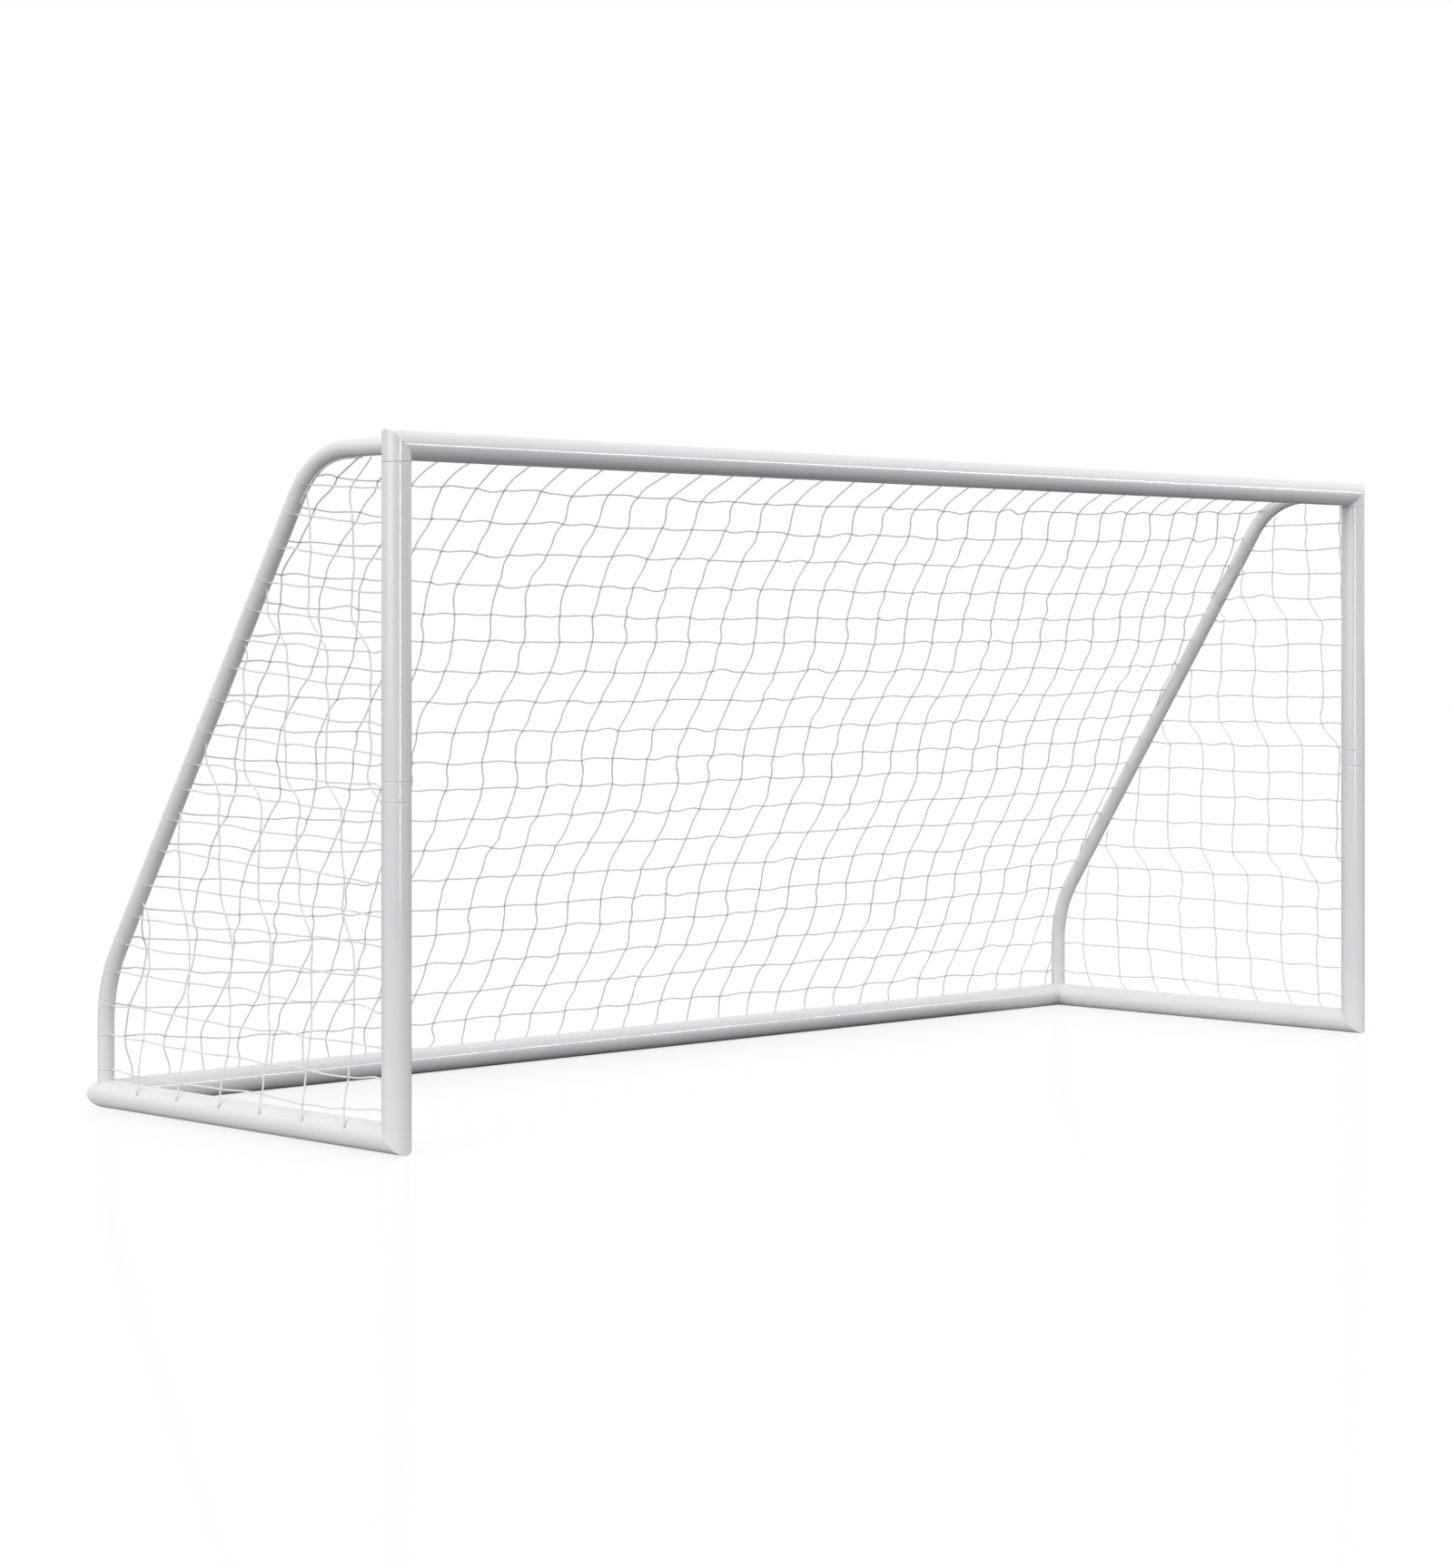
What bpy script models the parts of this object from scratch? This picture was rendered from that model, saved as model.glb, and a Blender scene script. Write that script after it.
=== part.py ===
"""Portable soccer goal, modelled in metres with +Z up.

The posts stand at the front (-Y), the net closes the back (+Y), and X runs along
the crossbar. The origin is on the ground under the middle of the goal.

Every bar is a real hollow tube. Tubes that meet at a corner are cut on one mitre
plane, tubes that end on the side of another are coped to it, and where the goal
comes apart a sleeve inside the tubes joins them, locked by sprung snap buttons.
"""

import math

import bmesh
import bpy
from mathutils import Matrix, Vector

# Driving sizes, over the outside of the tubes.
GOAL_WIDTH = 4.877
GOAL_HEIGHT = 2.134
BASE_DEPTH = 1.575

# Main tube of the crossbar, posts and ground bars.
TUBE_DIAMETER = 0.0889
TUBE_WALL = 0.0020
TUBE_SIDES = 24

# Stay tube: the bent tube from each top corner down to the rear corner.
STAY_DIAMETER = 0.054
STAY_WALL = 0.0020
STAY_SIDES = 16
STAY_SLOPE = math.radians(33.1)  # of the sloping length, from plumb
STAY_FOOT_VERTEX = 0.407  # height where slope and foot would meet with no bend
TOP_BEND_RADIUS = 0.290
TOP_BEND_STEPS = 8
FOOT_BEND_RADIUS = 0.450
FOOT_BEND_STEPS = 5

# Heights of the joints that show as thin seams.
CORNER_SEAM_DROP = 0.096  # below the top of the goal
COUPLING_RING_HEIGHT = 0.061  # at half the height of each post
FOOT_SEAM_HEIGHT = 0.131

# Sleeves inside the tubes.
SLEEVE_WALL = 0.0020
SLEEVE_MITRE = 0.006  # clear of the crossbar's mitre
SLEEVE_REACH = 0.140  # past a seam, into the tube that slides over it
COUPLING_REACH = 0.125
STAY_SLEEVE_REACH = 0.125

# Snap buttons and the leaf springs that push them out.
POST_BUTTON_RADIUS = 0.00475
STAY_BUTTON_RADIUS = 0.0039
BUTTON_STAND_OUT = 0.0050
BUTTON_SIDES = 12
HOLE_CLEARANCE = 0.00035
FLANGE_EXTRA = 0.0022
FLANGE_THICKNESS = 0.0015
LEAF_THICKNESS = 0.0010
BUTTON_PAST_SEAM = 0.055
POST_BUTTON_TURN = math.radians(30)  # round the post, from straight back towards the outside

# Netting, drawn at every second strand each way: one gap stands for four of the real mesh.
MESH_BACK = 0.152
MESH_SIDE = 0.167
MESH_ROW = 0.1025
DRAWN_EVERY = 2
STRAND = 0.005
STEP_ROWS = 5  # rows from one sideways step of a column to the next
SIDE_STEP = 0.067
BACK_STEP = 0.108
SLIVER_SHARE = 0.22  # a cut gap smaller than this share of a whole one joins its neighbour
FOLD_BEHIND = 0.250  # from the posts' axis back to the fold between roof and back
FOLD_HEIGHT = 2.010
ROOF_START_ANGLE = math.radians(50)  # round the crossbar, from level at the back downwards
BACK_END_ANGLE = math.radians(140)  # round the rear bar, from level at the back upwards
NET_EDGE = 0.003  # from the bar's face to the net's edge
NOTCH_WIDTH = 0.046  # cut off the corners where a net runs past a post or a side bar
NOTCH_LENGTH = 0.022

GAP = 0.0003  # between pieces that touch
COPE_OVERRUN = -0.001  # the cope cutters run into each other at a mitre

# Worked out from the sizes above.
TUBE_RADIUS = TUBE_DIAMETER / 2
STAY_RADIUS = STAY_DIAMETER / 2
HALF_SPAN = GOAL_WIDTH / 2 - TUBE_RADIUS
POST_Y = TUBE_RADIUS - BASE_DEPTH / 2
REAR_Y = -POST_Y
TOP_Z = GOAL_HEIGHT - TUBE_RADIUS
GROUND_Z = TUBE_RADIUS
SLEEVE_RADIUS = TUBE_RADIUS - TUBE_WALL - GAP
STAY_SLEEVE_RADIUS = STAY_RADIUS - STAY_WALL - GAP
CORNER_SEAM_Z = GOAL_HEIGHT - CORNER_SEAM_DROP
RING_TOP_Z = GOAL_HEIGHT / 2 + COUPLING_RING_HEIGHT / 2
RING_FOOT_Z = GOAL_HEIGHT / 2 - COUPLING_RING_HEIGHT / 2

LEFT, RIGHT = -1, 1
SIDES = {"left": LEFT, "right": RIGHT}
AXIS_X = Vector((1, 0, 0))
AXIS_Y = Vector((0, 1, 0))
AXIS_Z = Vector((0, 0, 1))


def clear_scene():
    for thing in list(bpy.data.objects):
        bpy.data.objects.remove(thing, do_unlink=True)


def make_material(name, colour, roughness, metallic):
    material = bpy.data.materials.new(name)
    material.use_nodes = True
    shader = material.node_tree.nodes["Principled BSDF"]
    shader.inputs["Base Color"].default_value = (*colour, 1)
    shader.inputs["Roughness"].default_value = roughness
    shader.inputs["Metallic"].default_value = metallic
    return material


def finish_mesh(bm, name, material, smooth_angle=None):
    """Turn a bmesh into an object of its own, faces pointing out."""
    bmesh.ops.recalc_face_normals(bm, faces=bm.faces)
    mesh = bpy.data.meshes.new(name)
    bm.to_mesh(mesh)
    bm.free()
    mesh.materials.append(material)
    if smooth_angle is not None:
        mesh.shade_smooth()
        mesh.set_sharp_from_angle(angle=smooth_angle)
    thing = bpy.data.objects.new(name, mesh)
    bpy.context.scene.collection.objects.link(thing)
    return thing


class Station:
    """One cut across a tube: its centre, the way the tube runs and the cut's normal."""

    def __init__(self, centre, along, cut=None, side=AXIS_X):
        self.centre = Vector(centre)
        self.along = Vector(along).normalized()
        self.cut = Vector(cut).normalized() if cut is not None else self.along
        self.side = Vector(side)
        self.up = self.side.cross(self.along)


def loop_at(bm, station, flat_radius, sides):
    """A polygon loop on the station's cut, for a tube with flat_radius from axis to flats."""
    corner_radius = flat_radius / math.cos(math.pi / sides)
    loop = []
    for index in range(sides):
        angle = (index + 0.5) * 2 * math.pi / sides
        offset = corner_radius * (math.cos(angle) * station.side + math.sin(angle) * station.up)
        slide = -offset.dot(station.cut) / station.along.dot(station.cut)
        loop.append(bm.verts.new(station.centre + offset + slide * station.along))
    return loop


def bridge(bm, first, second):
    count = len(first)
    for index in range(count):
        after = (index + 1) % count
        bm.faces.new((first[index], first[after], second[after], second[index]))


def skin(bm, loops):
    for first, second in zip(loops, loops[1:]):
        bridge(bm, first, second)


def make_tube(name, stations, radius, wall, sides, material):
    """A hollow tube through the stations, open at both ends."""
    bm = bmesh.new()
    outer = [loop_at(bm, station, radius, sides) for station in stations]
    inner = [loop_at(bm, station, radius - wall, sides) for station in stations]
    skin(bm, outer)
    skin(bm, inner)
    bridge(bm, outer[0], inner[0])
    bridge(bm, outer[-1], inner[-1])
    return finish_mesh(bm, name, material, math.radians(30))


def make_rod(name, stations, radius, sides, material):
    """A solid bar through the stations."""
    bm = bmesh.new()
    loops = [loop_at(bm, station, radius, sides) for station in stations]
    skin(bm, loops)
    bm.faces.new(loops[0])
    bm.faces.new(loops[-1])
    return finish_mesh(bm, name, material, math.radians(30))


def as_cutter(thing):
    thing.hide_render = True
    thing.display_type = "WIRE"
    return thing


def cut_away(target, cutter):
    """Subtract the cutter from the target with a live Boolean."""
    boolean = target.modifiers.new("cut by " + cutter.name, "BOOLEAN")
    boolean.operation = "DIFFERENCE"
    boolean.solver = "EXACT"
    boolean.object = cutter


def make_cope(name, stations):
    """A cutter with the outside of a main tube, for the tubes that end on its face."""
    return as_cutter(make_rod("cope_" + name, stations, TUBE_RADIUS + GAP, TUBE_SIDES, None))


def post_axis(side):
    return Vector((side * HALF_SPAN, POST_Y, 0))


def rear_axis(side):
    return Vector((side * HALF_SPAN, REAR_Y, 0))


def top_corner(side):
    return post_axis(side) + AXIS_Z * TOP_Z


def front_corner(side):
    return post_axis(side) + AXIS_Z * GROUND_Z


def rear_corner(side):
    return rear_axis(side) + AXIS_Z * GROUND_Z


def mitred(corner, away, other_away, back):
    """The end station of a tube that leaves a mitred corner along away.

    back is the play between the two tubes' cuts; below zero they run into each other.
    """
    away = Vector(away)
    cut = away - Vector(other_away)
    centre = corner + away * (back / 2 * cut.length / cut.dot(away))
    side = AXIS_Y if abs(away.x) > 0.5 else AXIS_X
    return Station(centre, away, cut, side)


def arriving(station):
    """The same cut, seen from a tube that ends at it instead of leaving from it."""
    return Station(station.centre, -station.along, station.cut, station.side)


def crossbar_stations(back=GAP):
    left = mitred(top_corner(LEFT), AXIS_X, -AXIS_Z, back)
    right = mitred(top_corner(RIGHT), -AXIS_X, -AXIS_Z, back)
    return [left, arriving(right)]


def rear_bar_stations(back=GAP):
    left = mitred(rear_corner(LEFT), AXIS_X, -AXIS_Y, back)
    right = mitred(rear_corner(RIGHT), -AXIS_X, -AXIS_Y, back)
    return [left, arriving(right)]


def side_bar_stations(side, back=GAP):
    front = mitred(front_corner(side), AXIS_Y, AXIS_Z, back)
    rear = mitred(rear_corner(side), -AXIS_Y, -side * AXIS_X, back)
    return [front, arriving(rear)]


def stub_stations(side, back=GAP):
    """The short leg under each end of the crossbar, from its seam up to the mitre."""
    top = mitred(top_corner(side), -AXIS_Z, -side * AXIS_X, back)
    return [Station(post_axis(side) + AXIS_Z * CORNER_SEAM_Z, AXIS_Z), arriving(top)]


def make_crossbar(material):
    return make_tube(
        "crossbar", crossbar_stations(), TUBE_RADIUS, TUBE_WALL, TUBE_SIDES, material
    )


def make_corner(label, side, paint, zinc):
    """The mitred stub under the crossbar's end and the sleeve that hangs out of it."""
    make_tube(
        "corner_stub_" + label, stub_stations(side), TUBE_RADIUS, TUBE_WALL, TUBE_SIDES, paint
    )
    top = arriving(mitred(top_corner(side), -AXIS_Z, -side * AXIS_X, SLEEVE_MITRE))
    foot = Station(post_axis(side) + AXIS_Z * (CORNER_SEAM_Z - SLEEVE_REACH), AXIS_Z)
    return make_tube(
        "corner_sleeve_" + label, [foot, top], SLEEVE_RADIUS, SLEEVE_WALL, TUBE_SIDES, zinc
    )


def make_posts(label, side, paint, zinc):
    """Upper and lower post with the flush ring and the sleeve of the coupling between them."""
    axis = post_axis(side)

    def upright(name, foot_z, head_z, radius, wall, material):
        stations = [Station(axis + AXIS_Z * foot_z, AXIS_Z), Station(axis + AXIS_Z * head_z, AXIS_Z)]
        return make_tube(name, stations, radius, wall, TUBE_SIDES, material)

    upper = upright(
        "post_upper_" + label, RING_TOP_Z + GAP, CORNER_SEAM_Z - GAP, TUBE_RADIUS, TUBE_WALL, paint
    )
    upright("coupling_ring_" + label, RING_FOOT_Z, RING_TOP_Z, TUBE_RADIUS, TUBE_WALL, paint)
    sleeve = upright(
        "coupling_sleeve_" + label,
        RING_FOOT_Z - COUPLING_REACH,
        RING_TOP_Z + COUPLING_REACH,
        SLEEVE_RADIUS,
        SLEEVE_WALL,
        zinc,
    )
    foot = mitred(front_corner(side), AXIS_Z, AXIS_Y, GAP)
    head = Station(axis + AXIS_Z * (RING_FOOT_Z - GAP), AXIS_Z)
    lower = make_tube(
        "post_lower_" + label, [foot, head], TUBE_RADIUS, TUBE_WALL, TUBE_SIDES, paint
    )
    return upper, sleeve, lower


def arc_stations(centre, radius, start, end, steps):
    """Stations round a bend in the side plane; angles from +Y towards +Z, run downwards."""
    stations = []
    for step in range(steps + 1):
        angle = start + (end - start) * step / steps
        out = math.cos(angle) * AXIS_Y + math.sin(angle) * AXIS_Z
        along = math.sin(angle) * AXIS_Y - math.cos(angle) * AXIS_Z
        stations.append(Station(centre + radius * out, along))
    return stations


def stay_bends(side):
    """Centres of the two bends, and the angle at which the slope leaves the top one."""
    slope_angle = STAY_SLOPE
    foot_tangent = FOOT_BEND_RADIUS * math.tan(STAY_SLOPE / 2)
    foot_centre = rear_axis(side) - AXIS_Y * FOOT_BEND_RADIUS
    foot_centre += AXIS_Z * (STAY_FOOT_VERTEX - foot_tangent)
    rise = TOP_Z - STAY_FOOT_VERTEX
    vertex = rear_axis(side) - AXIS_Y * rise * math.tan(STAY_SLOPE) + AXIS_Z * TOP_Z
    top_tangent = TOP_BEND_RADIUS * math.tan((math.pi / 2 - STAY_SLOPE) / 2)
    top_centre = vertex - AXIS_Y * top_tangent - AXIS_Z * TOP_BEND_RADIUS
    return top_centre, foot_centre, slope_angle


def stay_stations(side):
    top_centre, foot_centre, slope_angle = stay_bends(side)
    start = Station(top_corner(side), AXIS_Y)
    top = arc_stations(top_centre, TOP_BEND_RADIUS, math.pi / 2, slope_angle, TOP_BEND_STEPS)
    foot = arc_stations(foot_centre, FOOT_BEND_RADIUS, slope_angle, 0, FOOT_BEND_STEPS)
    end = Station(rear_axis(side) + AXIS_Z * (FOOT_SEAM_HEIGHT + GAP), -AXIS_Z)
    return [start, *top, *foot, end]


def make_stay(label, side, paint, zinc, corner_cutters, rear_cutters):
    """The bent stay, the sleeve on the top corner and the stub and sleeve on the rear one."""
    stay = make_tube(
        "stay_" + label, stay_stations(side), STAY_RADIUS, STAY_WALL, STAY_SIDES, paint
    )
    arm_end = Station(top_corner(side) + AXIS_Y * (TUBE_RADIUS + STAY_SLEEVE_REACH), AXIS_Y)
    arm_sleeve = make_tube(
        "arm_sleeve_" + label,
        [Station(top_corner(side), AXIS_Y), arm_end],
        STAY_SLEEVE_RADIUS,
        SLEEVE_WALL,
        STAY_SIDES,
        zinc,
    )
    for cutter in corner_cutters:
        cut_away(stay, cutter)
        cut_away(arm_sleeve, cutter)

    seat = rear_corner(side)
    head = Station(rear_axis(side) + AXIS_Z * FOOT_SEAM_HEIGHT, AXIS_Z)
    stub = make_tube(
        "foot_stub_" + label, [Station(seat, AXIS_Z), head], STAY_RADIUS, STAY_WALL, STAY_SIDES, paint
    )
    sleeve_head = Station(head.centre + AXIS_Z * STAY_SLEEVE_REACH, AXIS_Z)
    foot_sleeve = make_tube(
        "foot_sleeve_" + label,
        [Station(seat, AXIS_Z), sleeve_head],
        STAY_SLEEVE_RADIUS,
        SLEEVE_WALL,
        STAY_SIDES,
        zinc,
    )
    for cutter in rear_cutters:
        cut_away(stub, cutter)
        cut_away(foot_sleeve, cutter)
    return stay, arm_sleeve, foot_sleeve


def drill(name, centre, direction, radius, reach, targets):
    """A round hole from the tube's axis out through every target's wall."""
    direction = Vector(direction)
    side = AXIS_X if direction == AXIS_Z else AXIS_Z
    start = Station(centre, direction, side=side)
    end = Station(Vector(centre) + direction * reach, direction, side=side)
    cutter = as_cutter(make_rod(name, [start, end], radius, BUTTON_SIDES, None))
    for target in targets:
        cut_away(target, cutter)


def make_button(name, centre, direction, radius, tube_radius, sleeve_radius, material):
    """A turned button: wide flange inside the sleeve, straight shank, domed head outside."""
    bore = sleeve_radius - SLEEVE_WALL
    flange_radius = radius + FLANGE_EXTRA
    flange_face = math.sqrt(bore**2 - flange_radius**2) - 2 * GAP
    crown = tube_radius + BUTTON_STAND_OUT
    profile = [
        (flange_face - FLANGE_THICKNESS, flange_radius),
        (flange_face, flange_radius),
        (flange_face, radius),
        (crown - radius * 0.45, radius),
        (crown - radius * 0.12, radius * 0.72),
        (crown, radius * 0.28),
    ]
    bm = bmesh.new()
    loops = []
    for height, width in profile:
        turned = Station(AXIS_Z * (height - tube_radius), AXIS_Z)
        loops.append(loop_at(bm, turned, width, BUTTON_SIDES))
    skin(bm, loops)
    bm.faces.new(loops[0])
    bm.faces.new(loops[-1])
    button = finish_mesh(bm, name, material, math.radians(40))
    button.location = Vector(centre) + Vector(direction) * tube_radius
    button.rotation_mode = "QUATERNION"
    button.rotation_quaternion = AXIS_Z.rotation_difference(Vector(direction))
    return flange_face - FLANGE_THICKNESS


def make_leaf(name, centre, direction, along, width, seat, bore, reach, material):
    """A V-shaped leaf spring: one leg under the button, the other on the far wall."""
    direction, along = Vector(direction), Vector(along)
    near = seat - GAP - LEAF_THICKNESS / 2
    far = math.sqrt(bore**2 - (width / 2) ** 2) - 2 * GAP - LEAF_THICKNESS / 2
    nose = 0.10 * bore
    path = [(near, -0.5 * width), (near, 0.9 * width)]
    path += [(nose, reach), (0.0, reach + 0.6 * nose), (-nose, reach)]
    path += [(-far, 0.4 * width), (-far, -0.5 * width)]
    across = direction.cross(along)
    bm = bmesh.new()
    edges = []
    for index, (height, run) in enumerate(path):
        before = Vector(path[max(index - 1, 0)])
        after = Vector(path[min(index + 1, len(path) - 1)])
        here = Vector((height, run))
        first = (here - before).normalized() if index else (after - here).normalized()
        second = (after - here).normalized() if index < len(path) - 1 else first
        bisector = (first + second).normalized()
        normal = Vector((-bisector.y, bisector.x))
        stretch = LEAF_THICKNESS / 2 / max(bisector.dot(first), 0.3)
        corner = []
        for sign in (-1, 1):
            point = here + sign * stretch * normal
            for span in (-width / 2, width / 2):
                place = Vector(centre) + direction * point.x + along * point.y + across * span
                corner.append(bm.verts.new(place))
        edges.append((corner[0], corner[1], corner[3], corner[2]))
    skin(bm, edges)
    bm.faces.new(edges[0])
    bm.faces.new(edges[-1])
    return finish_mesh(bm, name, material)


def fit_lock(label, centre, direction, along, main, targets, material):
    """Drill the walls, and set the button and its spring in the hole."""
    tube_radius = TUBE_RADIUS if main else STAY_RADIUS
    sleeve_radius = SLEEVE_RADIUS if main else STAY_SLEEVE_RADIUS
    radius = POST_BUTTON_RADIUS if main else STAY_BUTTON_RADIUS
    bore = sleeve_radius - SLEEVE_WALL
    drill(
        "hole_" + label, centre, direction, radius + HOLE_CLEARANCE, tube_radius + 0.01, targets
    )
    seat = make_button(
        "button_" + label, centre, direction, radius, tube_radius, sleeve_radius, material
    )
    reach = 0.052 if main else 0.040
    make_leaf("leaf_" + label, centre, direction, along, 2 * radius, seat, bore, reach, material)


def column_shift(row, step):
    """How far a column has moved sideways at this row: straight for four rows, then a step."""
    steps, rest = divmod(row, STEP_ROWS)
    return step * (steps + max(rest - STEP_ROWS + 1, 0))


def merge_slivers(bm, whole_area):
    """Join each small cut gap to the neighbour it shares its longest edge with."""
    while True:
        small = [face for face in bm.faces if face.calc_area() < SLIVER_SHARE * whole_area]
        inner = []
        for face in small:
            shared = [edge for edge in face.edges if len(edge.link_faces) == 2]
            if shared:
                inner.append(max(shared, key=lambda edge: (round(edge.calc_length(), 5), -edge.index)))
        if not inner:
            return
        bmesh.ops.dissolve_edges(bm, edges=[inner[0]], use_verts=False)
        bm.edges.index_update()


def make_net(name, origin, right, down, outline, mesh_width, step, material):
    """A flat net: a mesh of strands inside a convex outline of (right, down) points.

    The knots start as a grid whose columns step sideways on the way down. The grid is
    trimmed to the outline, each gap is inset by half a strand and opened, and the
    sheet that is left gets the strand's thickness.
    """
    right, down, origin = Vector(right), Vector(down), Vector(origin)
    facing = right.cross(down)
    widest = max(point[0] for point in outline)
    least = min(point[0] for point in outline)
    deepest = max(point[1] for point in outline)
    highest = min(point[1] for point in outline)
    rows = round((deepest - highest) / (DRAWN_EVERY * MESH_ROW))
    row_height = (deepest - highest) / rows
    columns = round((widest - least) / (DRAWN_EVERY * mesh_width))
    gap_width = (widest - least) / columns
    extra = 1 + math.ceil(abs(column_shift(DRAWN_EVERY * rows, step)) / gap_width)

    bm = bmesh.new()
    grid = []
    for row in range(rows + 1):
        depth = highest + row * row_height
        line = []
        for column in range(-extra, columns + extra + 1):
            place = least + column * gap_width + column_shift(DRAWN_EVERY * row, step)
            line.append(bm.verts.new(origin + right * place + down * depth))
        grid.append(line)
    for upper, lower in zip(grid, grid[1:]):
        for index in range(len(upper) - 1):
            bm.faces.new((upper[index], upper[index + 1], lower[index + 1], lower[index]))

    middle = Vector((sum(p[0] for p in outline), sum(p[1] for p in outline))) / len(outline)
    for start, end in zip(outline, outline[1:] + outline[:1]):
        run = Vector(end) - Vector(start)
        normal = Vector((run.y, -run.x)).normalized()
        if normal.dot(middle - Vector(start)) > 0:
            normal = -normal
        bmesh.ops.bisect_plane(
            bm,
            geom=bm.verts[:] + bm.edges[:] + bm.faces[:],
            dist=1e-6,
            plane_co=origin + right * start[0] + down * start[1],
            plane_no=right * normal.x + down * normal.y,
            clear_outer=True,
        )
    merge_slivers(bm, gap_width * row_height)

    gaps = bm.faces[:]
    bmesh.ops.inset_individual(bm, faces=gaps, thickness=STRAND / 2, use_even_offset=True)
    open_gaps = len(gaps)
    bmesh.ops.delete(bm, geom=gaps, context="FACES_ONLY")
    for face in bm.faces:
        if face.normal.dot(facing) < 0:
            face.normal_flip()
    mesh = bpy.data.meshes.new(name)
    bm.to_mesh(mesh)
    bm.free()
    mesh.materials.append(material)
    net = bpy.data.objects.new(name, mesh)
    bpy.context.scene.collection.objects.link(net)
    thicken = net.modifiers.new("strand thickness", "SOLIDIFY")
    thicken.thickness = STRAND
    thicken.offset = 0
    print(name, "gaps:", open_gaps)
    return open_gaps


def side_outline(side):
    """The clear space inside a side frame, as (behind the post, below the top) points."""
    top_centre, foot_centre, slope_angle = stay_bends(side)
    inner_top = TOP_BEND_RADIUS - STAY_RADIUS / math.cos(math.pi / STAY_SIDES) - GAP
    inner_foot = FOOT_BEND_RADIUS - STAY_RADIUS / math.cos(math.pi / STAY_SIDES) - GAP
    front = POST_Y + TUBE_RADIUS + GAP
    floor = TUBE_DIAMETER + GAP
    points = [(front, top_centre.z + inner_top)]
    for centre, radius, start, end, steps in (
        (top_centre, inner_top, math.pi / 2, slope_angle, 4),
        (foot_centre, inner_foot, slope_angle, 0, 3),
    ):
        for step in range(steps + 1):
            angle = start + (end - start) * step / steps
            reach = radius * math.cos(math.pi / STAY_SIDES / 4)
            points.append((centre.y + reach * math.cos(angle), centre.z + reach * math.sin(angle)))
    points += [(points[-1][0], floor), (front, floor)]
    return [(y - POST_Y, GOAL_HEIGHT - z) for y, z in points]


def make_nets(material):
    """Both sides, the short roof behind the crossbar and the sloping back."""
    gaps = 0
    for label, side in SIDES.items():
        origin = Vector((side * HALF_SPAN, POST_Y, GOAL_HEIGHT))
        gaps += make_net(
            "net_side_" + label,
            origin,
            AXIS_Y,
            -AXIS_Z,
            side_outline(side),
            MESH_SIDE,
            -SIDE_STEP,
            material,
        )

    half = HALF_SPAN - STRAND / 2 - GAP
    fold = Vector((0, POST_Y + FOLD_BEHIND, FOLD_HEIGHT))
    start = Vector((0, POST_Y + TUBE_RADIUS * math.cos(ROOF_START_ANGLE), 0))
    start.z = TOP_Z - TUBE_RADIUS * math.sin(ROOF_START_ANGLE)
    end = Vector((0, REAR_Y + TUBE_RADIUS * math.cos(BACK_END_ANGLE), 0))
    end.z = GROUND_Z + TUBE_RADIUS * math.sin(BACK_END_ANGLE)
    roof, back = fold - start, end - fold
    for name, origin, run, bar_edge, fold_edge, notch, step in (
        ("net_roof", start, roof, NET_EDGE, roof.length - STRAND, NOTCH_LENGTH, 0),
        ("net_back", fold, back, back.length - NET_EDGE, 0, -NOTCH_LENGTH, BACK_STEP),
    ):
        inner = half - NOTCH_WIDTH
        outline = [(inner, bar_edge), (half, bar_edge + notch), (half, fold_edge)]
        outline += [(-half, fold_edge), (-half, bar_edge + notch), (-inner, bar_edge)]
        gaps += make_net(
            name, origin, AXIS_X, run.normalized(), outline, MESH_BACK, step, material
        )
    print("gaps in all:", gaps)


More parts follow.
